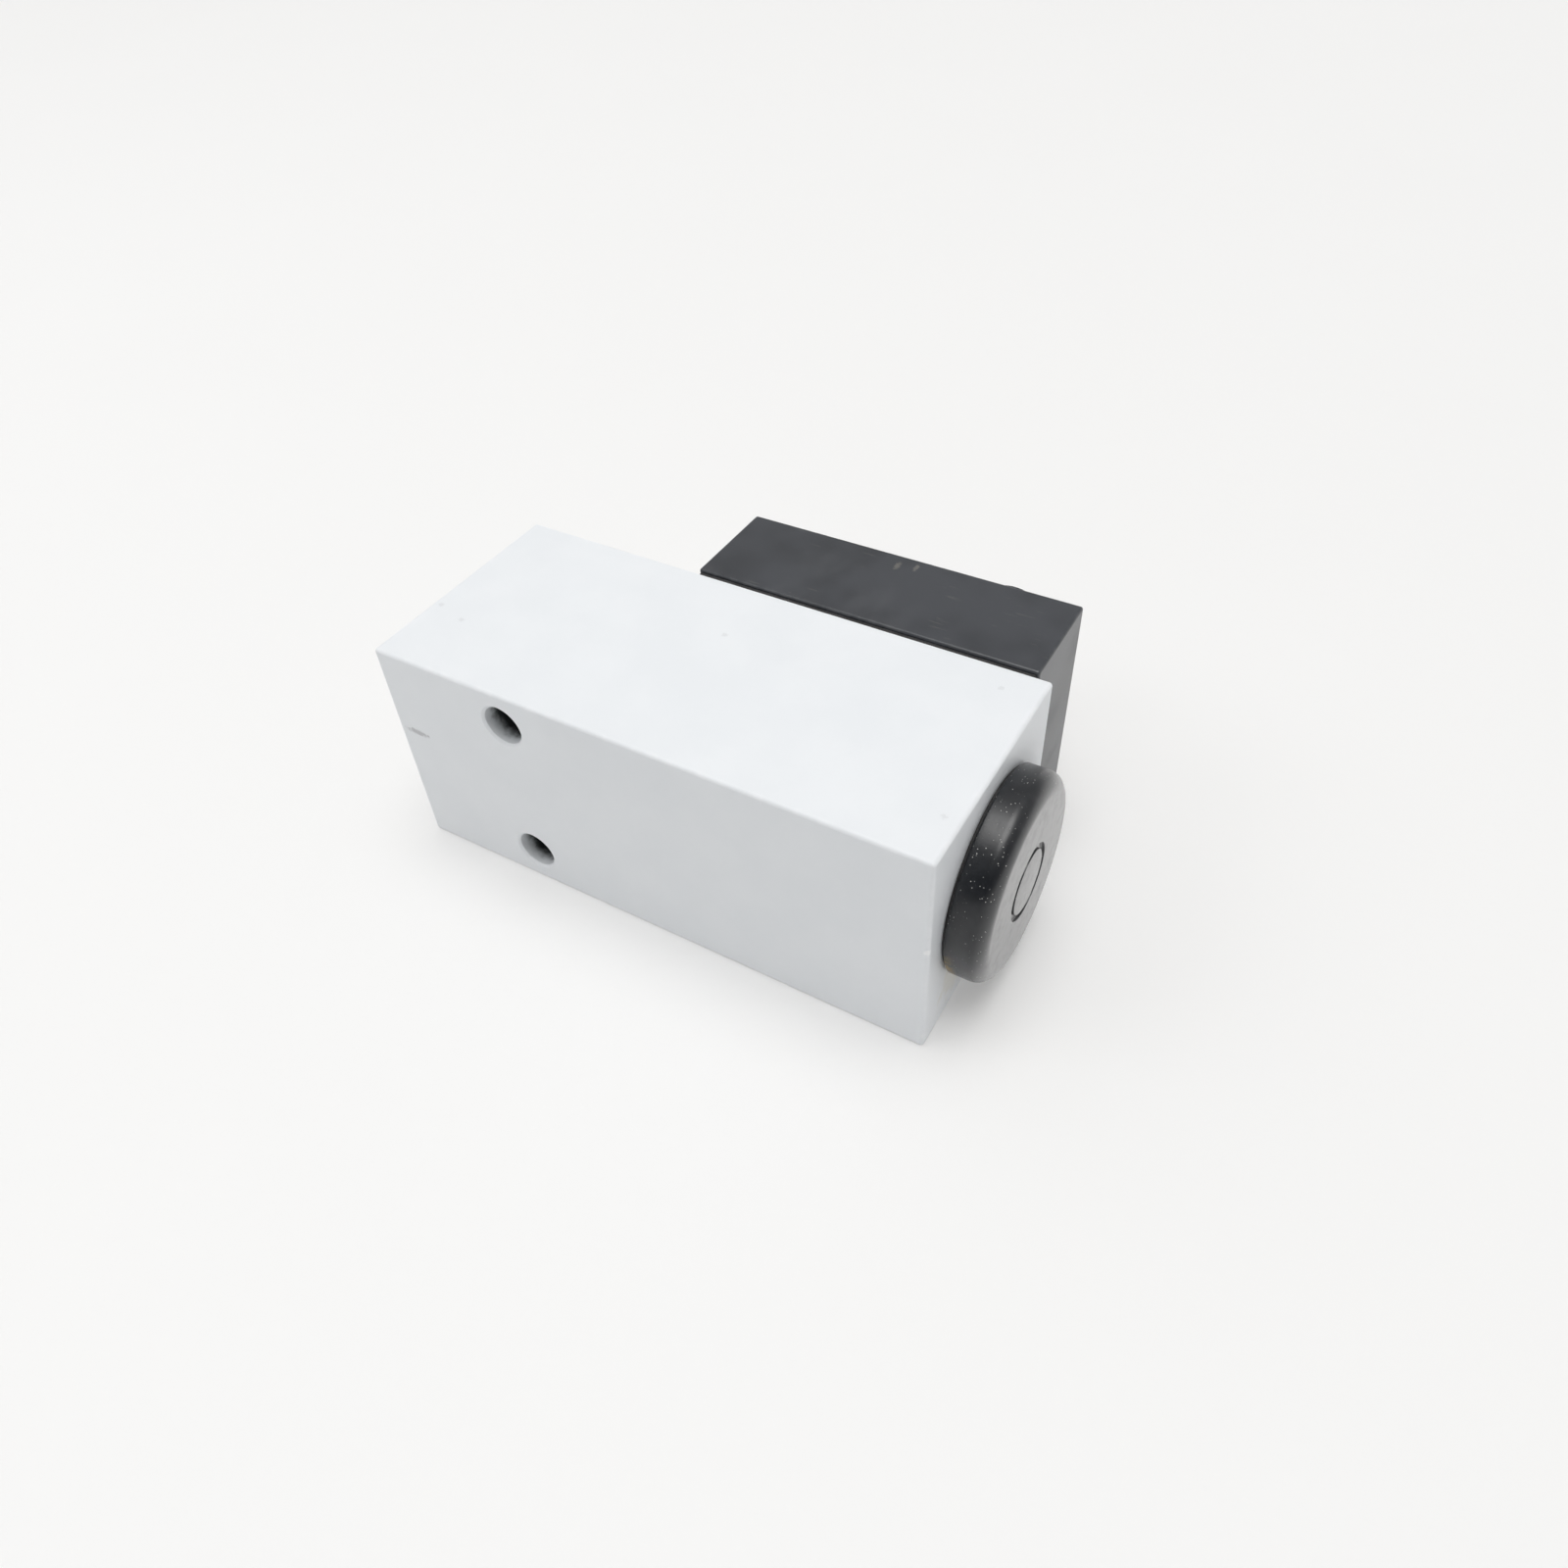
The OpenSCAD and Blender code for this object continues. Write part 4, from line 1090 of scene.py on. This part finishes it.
micro_low, micro_high = span("microswitch_screws")
micro_head = 1.9
micro_seat = micro_high.z - 1.3
micro_row = (micro_low.y + micro_high.y) / 2
micro_spots = [(x, micro_row, micro_seat)
               for x in (micro_low.x + micro_head, micro_high.x - micro_head)]
blank = screw_blank("Z", 1.0, micro_seat - micro_low.z, micro_head, 1.3, 0.4, "zinc_steel", 0.5)
fit(set_out("switch_screws", blank, micro_spots, "zinc_steel"), "microswitch_screws")

# %% [markdown]
# ## The connector
# A black moulded tube with an outside thread and a hexagon collar.  The thread is one long
# threaded rod, the collar is a hexagon whose corners were turned off, and the bore and the
# mouth are cut last.  Inside sits an insert with four gilt pins and a coding key.

# %% Thread the connector shell
collar_start = housing_high.y + 0.8
collar_end = collar_start + 3.0
tip = shell_high.y
thread_top = 6.0
thread_root = 5.45
clear = 7.0
shell = threaded_rod("connector", connector_axis, "Y", shell_low.y, tip, thread_top, 0.55, 1.0,
                     "housing_plastic", 96, 8)
trim = [(shell_low.y - past, clear), (shell_low.y - past, thread_root - 0.15),
        (shell_low.y, thread_root), (shell_low.y + 0.55, thread_top), (tip - 0.6, thread_top),
        (tip, thread_top - 0.6), (tip + past, thread_top - 0.6), (tip + past, clear)]
undercut = washer(collar_end, collar_end + 1.0, thread_root, clear)
combine(shell, [drill("trim", "housing_plastic", trim, connector_axis, "Y")])
combine(shell, [drill("relief", "housing_plastic", undercut, connector_axis, "Y")])
print("connector thread:", 2 * thread_top, "mm across,", round(tip - shell_low.y, 1), "mm long")

# %% Add the collar and bore the shell
flat = 7.5
corner = flat / math.cos(math.pi / 6)
collar = wear(press("collar", hexagon(2 * flat), connector_axis, "Y", collar_start, collar_end),
              "housing_plastic")
round_off = [(collar_start, flat - 0.15), (collar_start + 0.55, corner),
             (collar_end - 0.55, corner), (collar_end, flat - 0.15), (collar_end, 0),
             (collar_start, 0)]
combine(collar, [drill("round_off", "housing_plastic", round_off, connector_axis, "Y")],
        "INTERSECT")
combine(shell, [collar], "UNION")
mouth = 4.6
bore = [(shell_low.y - past, 0), (shell_low.y - past, mouth), (tip - 0.3, mouth),
        (tip + past, mouth + 0.3 + past), (tip + past, 0)]
combine(shell, [drill("bore", "housing_plastic", bore, connector_axis, "Y")])
fit(shell, "connector_shell")

# %% [markdown]
# The insert is a disc of harder plastic that holds the pins.  Each pin leaves through a
# countersunk hole, and a small key on the wall lets the plug in only one way round.

# %% Make the insert
insert_low, insert_high = span("connector_insert")
pins_low, pins_high = span("contact_pins")
pin_radius = 0.5
pin_reach = (pins_high.x - pins_low.x) / 2 - pin_radius
pin_spots = [(connector_axis[0] + sx * pin_reach, connector_axis[1] + sz * pin_reach)
             for sx in (-1, 1) for sz in (-1, 1)]
insert_face = tip - 8.0
insert_radius = mouth - 0.02
dish = insert_face - 0.35
insert_outline = [(insert_low.y, 0), (insert_low.y, insert_radius, 0.2),
                  (insert_face, insert_radius, 0.25), (insert_face, 3.4, 0.1),
                  (dish, 3.3, 0.1), (dish, 0)]
insert = drill("insert", "switch_black", soften(insert_outline, 0.1, 3), connector_axis, "Y")
pin_hole = [(insert_low.y - past, 0), (insert_low.y - past, pin_radius + slack),
            (insert_face - 0.6, pin_radius + slack), (insert_face + past, pin_radius + 0.8),
            (insert_face + past, 0)]
combine(insert, [drill("pin_hole", "switch_black", pin_hole, place, "Y", 32)
                 for place in pin_spots])
key = block_of("key", (connector_axis[0] - 0.5, insert_face - 0.5, mouth - 1.1),
               (connector_axis[0] + 0.5, insert_high.y, mouth - 0.2), 0.12, 3)
combine(insert, [wear(key, "switch_black")], "UNION")
fit(insert, "connector_insert")

# %% [markdown]
# The four contact pins are turned from brass and gilded.  They are thinner behind, where the
# leads are soldered on, and round at the front.  One pin is spun and the tree sets it out.

# %% Set out the pins
solder_end = pin_radius * 0.8
pin_outline = [(pins_low.y, 0.0), (pins_low.y, solder_end, 0.1),
               (insert_low.y, solder_end, 0.0), (insert_low.y, pin_radius, 0.1),
               (pins_high.y, pin_radius, 0.42), (pins_high.y, 0.0)]
pin = spin("pin", soften(pin_outline, 0.1, 5), (0, 0), "Y", 32)
fit(set_out("pins", pin, [(x, 0, z) for x, z in pin_spots], "gold_contact"), "contact_pins")

# %% [markdown]
# ## The spring
# A round wire is carried along a helix.  The helix rises slowly in its first and last turn,
# so those turns lie closed, and evenly between them.  Real springs have their ends ground
# flat to sit square, and so this one is: points past either end are pushed back to the end.

# %% The spring tree: along the helix
closed_lay = 2.06
end_grind = 0.35
spring_tree, given = new_tree("spring", {
    "Mean Radius": "Float", "Wire Radius": "Float", "Height": "Float", "Turns": "Float",
    "From Turn": "Float", "To Turn": "Float", "Start": "Vector", "Steps": "Int",
    "Sides": "Int", "Material": "Material"})
line = given["Steps"].node("GeometryNodeMeshLine", {"mode": "OFFSET"}, {"Count": given["Steps"]})
number = line.node("GeometryNodeInputIndex")
turns = given["From Turn"] + (given["To Turn"] - given["From Turn"]) * number / (given["Steps"] - 1)
closed_pitch = given["Wire Radius"] * closed_lay
middle_turns = given["Turns"] - 2
open_pitch = (given["Height"] - given["Wire Radius"] * 2 - closed_pitch * 2) / middle_turns
first = turns.sum("MINIMUM", turns, 1.0)
rest = turns.sum("MAXIMUM", turns - 1, 0.0)
open_part = rest.sum("MINIMUM", rest, middle_turns)
last = rest.sum("MAXIMUM", turns - given["Turns"] + 1, 0.0)
rise = given["Wire Radius"] + closed_pitch * (first + last) + open_pitch * open_part
swing = turns * math.tau
helix = swing.node("ShaderNodeCombineXYZ", None,
                   {"X": rise, "Y": given["Mean Radius"] * swing.sum("COSINE", swing),
                    "Z": given["Mean Radius"] * swing.sum("SINE", swing)})
coiled = line.node("GeometryNodeSetPosition", None, {"Geometry": line, "Position": helix})
print("helix:", len(spring_tree.nodes), "nodes")

# %% The spring tree: the wire and its ground ends
wire_line = coiled.node("GeometryNodeMeshToCurve", None, {"Mesh": coiled})
section = given["Sides"].node("GeometryNodeCurvePrimitiveCircle", None,
                              {"Resolution": given["Sides"], "Radius": given["Wire Radius"]})
wire = wire_line.node("GeometryNodeCurveToMesh", None,
                      {"Curve": wire_line, "Profile Curve": section, "Fill Caps": True})
px, py, pz = parts_of(wire.node("GeometryNodeInputPosition"))
ground = given["Wire Radius"] * end_grind
squared = px.node("ShaderNodeClamp", None,
                  {"Value": px, "Min": ground, "Max": given["Height"] - ground})
stretch = (squared - ground) / (given["Height"] - ground * 2) * given["Height"]
seat_it = px.node("ShaderNodeCombineXYZ", None, {"X": stretch, "Y": py, "Z": pz})
placed_at = seat_it.node("ShaderNodeVectorMath", {"operation": "ADD"},
                         {0: seat_it, 1: given["Start"]})
ground_wire = wire.node("GeometryNodeSetPosition", None,
                        {"Geometry": wire, "Position": placed_at})
end_tree(ground_wire, given["Material"])
print("spring tree:", len(spring_tree.nodes), "nodes")

# %% [markdown]
# The piston pushes one end of this spring and the adjusting screw the other, so it is wound
# as two lengths of the same helix.  The short foot stays fixed, and the long part rides on
# the spring's moving body.

# %% Wind the spring
spring_low, spring_high = span("range_spring")
wire_radius = 1.1
spring_height = spring_high.x - spring_low.x
all_turns = 7.0
foot_turns = 1.8
steps_in_turn = 48


def wind(name, first, last, rides):
    """A length of the spring between two of its turns."""
    coil = run_tree(name, spring_tree, Mean_Radius=6 * MM, Wire_Radius=wire_radius * MM,
                    Height=spring_height * MM, Turns=all_turns, From_Turn=first, To_Turn=last,
                    Start=Vector((spring_low.x, *valve_axis)) * MM,
                    Steps=round((last - first) * steps_in_turn) + 1, Sides=20,
                    Material=finishes["spring_steel"])
    return fit(settle(coil, 50), "range_spring", rides=rides)


foot = wind("spring_foot", 0.0, foot_turns, False)
main_coil = wind("spring", foot_turns, all_turns, True)

# %% Where the spring is cut, and how far its seat travels
closed = closed_lay * wire_radius
open_turn = (spring_height - 2 * wire_radius - 2 * closed) / (all_turns - 2)
cut_x = spring_low.x + wire_radius + closed + (foot_turns - 1) * open_turn
seat_joint = next(joint for joint in frame["joints"] if joint["name"] == "seat_advance")
seat_travel = max(seat_joint["range_m"]) / MM
keep = 1 - seat_travel / (spring_high.x - cut_x)
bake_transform(foot)
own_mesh(main_coil)
print(f"spring cut at {cut_x:.2f} mm; the long part keeps {keep:.2f} of its length")

# %% [markdown]
# ## Turned parts inside
# The rest of the pressure train is plain lathe work: each part is one outline, with its
# grooves and chamfers drawn in, spun about the valve's axis.

# %% Turn the nozzle
nozzle_low, nozzle_high = span("damping_nozzle")
jet = 0.4
nozzle_radius = 1.98
nozzle_outline = [(nozzle_low.x, jet, 0.1), (nozzle_low.x, nozzle_radius, 0.15),
                  (nozzle_high.x, nozzle_radius, 0.15), (nozzle_high.x, jet, 0.1)]
nozzle = drill("nozzle", "brass", soften(nozzle_outline, 0.1, 3), valve_axis, "X", 48)
driver_slot = block_of("driver_slot", (nozzle_low.x - past, valve_axis[0] - 4, -0.3),
                       (nozzle_low.x + 0.5, valve_axis[0] + 4, 0.3), 0.0)
combine(nozzle, [wear(driver_slot, "brass")])
fit(nozzle, "damping_nozzle")

# %% Turn the sleeve and the piston
piston_low, piston_high = span("piston")
ring_low, ring_high = span("sleeve_o_ring")
piston_radius = 2.5
piston_bore = piston_radius + 0.05
gland = 4.05
gland_end = sleeve_low.x + 3.0
sleeve_radius = 5.48
groove_radius = 4.58
groove_start, groove_end = ((ring_low.x + ring_high.x) / 2 + half for half in (-0.57, 0.57))
sleeve_outline = [
    (sleeve_low.x, gland, 0.1), (sleeve_low.x, sleeve_radius, 0.25),
    (groove_start, sleeve_radius, 0.08), (groove_start, groove_radius, 0.08),
    (groove_end, groove_radius, 0.08), (groove_end, sleeve_radius, 0.08),
    (sleeve_high.x, sleeve_radius, 0.25), (sleeve_high.x, piston_bore, 0.2),
    (gland_end, piston_bore, 0.08), (gland_end, gland, 0.1)]
turn_part("sleeve", "guide_sleeve", sleeve_outline)
piston_outline = [(piston_low.x, 0), (piston_low.x, piston_radius, 0.35),
                  (piston_high.x, piston_radius, 0.2), (piston_high.x, 0)]
turn_part("piston_rod", "piston", piston_outline, 0.2, 4)

# %% [markdown]
# Two rubber O-rings keep the oil in, and a ring of slippery white plastic backs one of them
# up, so that pressure can't push the rubber into the gap.  An O-ring is a small circle spun
# about the axis, and it takes both of its sizes from the frame.

# %% Turn the seals
def o_ring(name, node):
    """A round rubber ring that fills the node's box."""
    low, high = span(node)
    section = (high.x - low.x) / 2
    middle = (high.y - low.y) / 2 - section
    centre = (low.x + high.x) / 2
    outline = [(centre + section * math.cos(math.tau * k / 24),
                middle + section * math.sin(math.tau * k / 24)) for k in range(24)]
    return fit(settle(spin(name, outline, valve_axis), 60), node)


o_ring("piston_ring", "piston_o_ring")
o_ring("sleeve_ring", "sleeve_o_ring")
backup_low, backup_high = span("backup_ring")
turn_part("backup", "backup_ring", washer(backup_low.x, backup_high.x, 2.55, 4.03))

# %% [markdown]
# The spring stands between two hats of turned steel.  The plate rides on the piston's end in
# a pocket, and the seat takes the screw's push through a ball, which sits in a round cup so
# that the spring isn't twisted when the screw turns.

# %% Turn the spring plate
plate_low, plate_high = span("spring_plate")
plate_thick = 2.0
plate_radius = 9.3
hub = 4.7
taper = 0.6
plate_top = plate_low.x + plate_thick
plate_outline = [(plate_low.x, 0), (plate_low.x, plate_radius, 0.25),
                 (plate_top, plate_radius, 0.25), (plate_top, hub, 0.2),
                 (plate_high.x - taper, hub, 0.15), (plate_high.x, hub - taper, 0.15),
                 (plate_high.x, 0)]
plate = drill("plate", "turned_steel", soften(plate_outline, 0.1, 3), valve_axis)
pocket_end = plate_low.x + 1.0 + slack
pocket = rod(plate_low.x - past, pocket_end, piston_radius + slack)
combine(plate, [drill("pocket", "turned_steel", pocket, valve_axis)])
fit(plate, "spring_plate")

# %% Turn the seat and its ball
seat_low, seat_high = span("upper_spring_seat")
ball_low, ball_high = span("thrust_ball")
seat_radius = 8.8
ball_radius = (ball_high.x - ball_low.x) / 2
ball_x = (ball_low.x + ball_high.x) / 2


def ball_outline(radius, steps=32):
    """Half a circle, from pole to pole."""
    turns = [math.pi * k / steps for k in range(steps + 1)]
    return [(ball_x - radius * math.cos(t), radius * abs(math.sin(t)) if 0 < k < steps else 0)
            for k, t in enumerate(turns)]


seat_foot = seat_high.x - plate_thick
seat_outline = [(seat_low.x, 0), (seat_low.x, hub - taper, 0.15), (seat_low.x + taper, hub, 0.15),
                (seat_foot, hub, 0.2), (seat_foot, seat_radius, 0.25),
                (seat_high.x, seat_radius, 0.25), (seat_high.x, 0)]
seat = drill("seat", "turned_steel", soften(seat_outline, 0.1, 3), valve_axis)
ball_cup = ball_outline(ball_radius + slack)
combine(seat, [drill("ball_cup", "turned_steel", ball_cup, valve_axis, "X", 64)])
fit(seat, "upper_spring_seat")
fit(settle(spin("ball", ball_outline(ball_radius), valve_axis, "X", 64), 60), "thrust_ball")

# %% [markdown]
# ## The adjusting screw
# The screw is a short threaded plug with a hexagon socket.  Its thread's ends are turned
# back at a slope, which is done here by cutting away everything outside that slope.

# %% Cut the adjusting screw
adjuster_low, adjuster_high = span("adjusting_screw")
adjuster_radius = 9.95
adjuster = threaded_rod("adjuster", valve_axis, "X", adjuster_low.x, adjuster_high.x,
                        adjuster_radius, 0.6, 1.0, "turned_steel", 128, 8)
slopes = [(adjuster_low.x - past, 11.5), (adjuster_low.x - past, 8.9), (adjuster_low.x, 9.2),
          (adjuster_low.x + 0.75, 10.0), (adjuster_high.x - 0.75, 10.0), (adjuster_high.x, 9.2),
          (adjuster_high.x + past, 8.9), (adjuster_high.x + past, 11.5)]
key_flats = 5.0
key_depth = 4.0
lead_in = [(adjuster_high.x - 0.45, 0), (adjuster_high.x - 0.45, key_flats / 2),
           (adjuster_high.x + past, key_flats / 2 + 2 * 1.45), (adjuster_high.x + past, 0)]
socket = press("socket", hexagon(key_flats), valve_axis, "X", adjuster_high.x - key_depth,
               adjuster_high.x + past)
ball_seat = ball_outline(ball_radius + 0.05)
combine(adjuster, [drill("slopes", "turned_steel", slopes, valve_axis, "X", 128),
                   drill("lead_in", "turned_steel", lead_in, valve_axis),
                   drill("ball_seat", "turned_steel", ball_seat, valve_axis, "X", 64),
                   wear(socket, "turned_steel")])
fit(adjuster, "adjusting_screw")

# %% [markdown]
# ## The snap ring
# The ring that keeps the screw in is a flat one of spring steel: two ears with holes for the
# pliers' tips, and a band that is widest opposite the gap, so that it bends evenly.  Its
# outline is worked out point by point, pressed to a thickness and eased.

# %% Draw the snap ring
ring_radius = 10.58
gap_half = math.radians(24)
ear = math.radians(13)
ear_radius = 7.7
steps = 96
outer = []
inner_side = []
for k in range(steps + 1):
    t = gap_half + (math.tau - 2 * gap_half) * k / steps
    outer.append((ring_radius * math.cos(t), ring_radius * math.sin(t)))
    from_gap = min(t - gap_half, math.tau - gap_half - t)
    band = 1.35 + 0.75 * math.sin(min(from_gap / (math.pi - gap_half), 1.0) * math.pi / 2)
    swell = max(0.0, 1 - (from_gap / ear) ** 4)
    depth = max(band, (ring_radius - ear_radius) * swell)
    inner_side.append(((ring_radius - depth) * math.cos(t), (ring_radius - depth) * math.sin(t)))
print("snap ring:", 2 * len(outer), "points, gap", round(math.degrees(2 * gap_half)), "degrees")

# %% Press and drill the snap ring
snap_ring = wear(press("snap_ring", outer + inner_side[::-1], valve_axis, "X", clip_low.x,
                       clip_high.x), "spring_steel")
pliers_reach = 8.95
pliers_rod = rod(clip_low.x - past, clip_high.x + past, 0.6)
pliers_holes = []
for side in (-1, 1):
    t = side * (gap_half + ear * 0.55)
    centre = (valve_axis[0] + pliers_reach * math.cos(t), valve_axis[1] + pliers_reach * math.sin(t))
    pliers_holes.append(drill("pliers_hole", "spring_steel", pliers_rod, centre, "X", 32))
combine(snap_ring, pliers_holes)
fit(ease(snap_ring, 0.06, 2, 40), "retaining_ring")

# %% [markdown]
# ## Small parts that keep their engineering shape
# Inside the housing are a folded bracket, a lever on its pin, a microswitch and its nuts.
# Their engineering shape is right already, and what it lacks is the softness of real
# edges.  A copy of each mesh is welded, its flat faces are joined, and its corners eased.

# %% Ease the small parts
def eased(name, node, width, steps=2):
    """A welded copy of a node's mesh with its corners eased."""
    bm = bmesh.new()
    bm.from_mesh(frame["nodes"][node].data)
    bmesh.ops.remove_doubles(bm, verts=bm.verts, dist=2e-6)
    bmesh.ops.dissolve_limit(bm, angle_limit=math.radians(1), verts=bm.verts, edges=bm.edges)
    piece = finish_mesh(name, bm)
    piece.data.materials.clear()
    return fit(ease(piece, width, steps, 40), node)


for name, node, width in (
        ("bracket", "switch_bracket", 0.1), ("lever_arm", "switch_lever", 0.08),
        ("pin_of_lever", "lever_pin", 0.15), ("micro_case", "microswitch_case", 0.18),
        ("micro_base", "microswitch_base", 0.12), ("plunger_button", "switch_plunger", 0.2),
        ("terminals", "switch_terminals", 0.05), ("switch_nuts", "microswitch_nuts", 0.1),
        ("collar_nut", "connector_nut", 0.15), ("collar_seal", "connector_seal", 0.12)):
    eased(name, node, width)

# %% [markdown]
# ## The leads
# Three thin leads run from the microswitch to the connector's pins.  The engineering tube
# has only eight sides, so a welded copy is rounded by one level of subdivision.

# %% Round the leads
bm = bmesh.new()
bm.from_mesh(frame["nodes"]["lead_wires"].data)
bmesh.ops.remove_doubles(bm, verts=bm.verts, dist=2e-6)
bmesh.ops.join_triangles(bm, faces=bm.faces, angle_face_threshold=1.2,
                         angle_shape_threshold=1.2)
leads = finish_mesh("leads", bm)
rounding = leads.modifiers.new("round", "SUBSURF")
rounding.levels = 1
rounding.render_levels = 1
fit(settle(leads, 60), "lead_wires")

left_over = sorted(set(frame["nodes"]) - set(placed))
print("nodes still shown as engineered:", left_over)

# %% [markdown]
# ## The floor
# A pale sheet of paper lies under the valve.  Paper is not one flat tone: it has fibres, soft
# clouds of shade and a stray speck here and there.  It also glows a little, as the sheet in a
# light tent does, which keeps the shadows soft.

# %% Lay the floor
floor_size = 4.0
floor_bm = bmesh.new()
bmesh.ops.create_grid(floor_bm, x_segments=1, y_segments=1, size=floor_size)
for vert in floor_bm.verts:
    vert.co.z = block_low.z * MM
floor = finish_mesh("floor", floor_bm)
paper, place = start_finish("paper", roughness=0.75, Emission_Color=(1, 1, 1, 1),
                             Emission_Strength=0.22)
fibre = grain(place, 1.2, 5.0)
clouds = grain(place, 60.0, 3.0)
shade = tint(0.5 * clouds + 0.15 * fibre, (0.65, 0.649, 0.646), (0.632, 0.63, 0.627))
stray = specks(place, 38.0, 0.45, 0.12)
wire_up(paper, Base_Color=tint(0.35 * stray, shade, (0.5, 0.45, 0.38)),
        Normal=relief(fibre, 0.02))
floor.data.materials.append(paper)
print("floor at", round(block_low.z, 2), "mm, under the block")

# %% [markdown]
# ## Lamp and surround
# One small cool lamp at the side draws the shadow.  The rest of the light comes from the
# surround: a big soft box overhead, a pale band at the horizon, and a room that is brighter
# behind the valve than in front.  The surround is also what black parts reflect, so it
# matters more than the lamp: a shiny cap against nothing would show nothing.

# %% Hang the lamp
def soft_lamp(name, place, aim, size, power, colour=(1, 1, 1)):
    """A square area lamp at a place, in metres, that shines towards a point."""
    data = bpy.data.lights.new(name, "AREA")
    data.shape = "RECTANGLE"
    data.size, data.size_y = size
    data.energy = power
    data.color = colour
    lamp = bpy.data.objects.new(name, data)
    direction = Vector(aim) - Vector(place)
    rotation = direction.to_track_quat("-Z", "Y").to_matrix().to_4x4()
    lamp.matrix_world = Matrix.Translation(place) @ rotation
    bpy.context.scene.collection.objects.link(lamp)


middle = (0.02, 0.016, 0.0)
soft_lamp("window_side", (-0.40, -0.28, 0.45), middle, (0.3, 0.3), 0.5, (0.97, 0.985, 1.0))

# %% Light the surround
world = bpy.data.worlds.new("surround")
bpy.context.scene.world = world
world.use_nodes = True
backdrop = world.node_tree.nodes["Background"]
backdrop.inputs["Color"].default_value = (1.0, 0.995, 0.985, 1)
sky = Signal(world.node_tree).node("ShaderNodeTexCoord", output="Generated")
sky_y, sky_z = parts_of(sky)[1:]
towards_back = smooth_step(sky_y, -0.75, 0.55)
horizon = 1 - smooth_step(sky_z, 0.1, 0.32)
overhead = Vector((0.05, 0.0, 1.0)).normalized()
facing = sky.node("ShaderNodeVectorMath", {"operation": "DOT_PRODUCT"},
                  {0: sky, 1: overhead}, "Value")
softbox = 0.3 * smooth_step(facing, 0.6, 0.95) + 5.2 * smooth_step(facing, 0.9, 0.985)
room = 0.12 + 0.34 * towards_back
strength = room.sum("MAXIMUM", room, 0.8 * horizon) + softbox
world.node_tree.links.new(strength.socket, backdrop.inputs["Strength"])
bpy.context.scene.view_settings.view_transform = "Standard"
print("surround:", len(world.node_tree.nodes), "nodes")
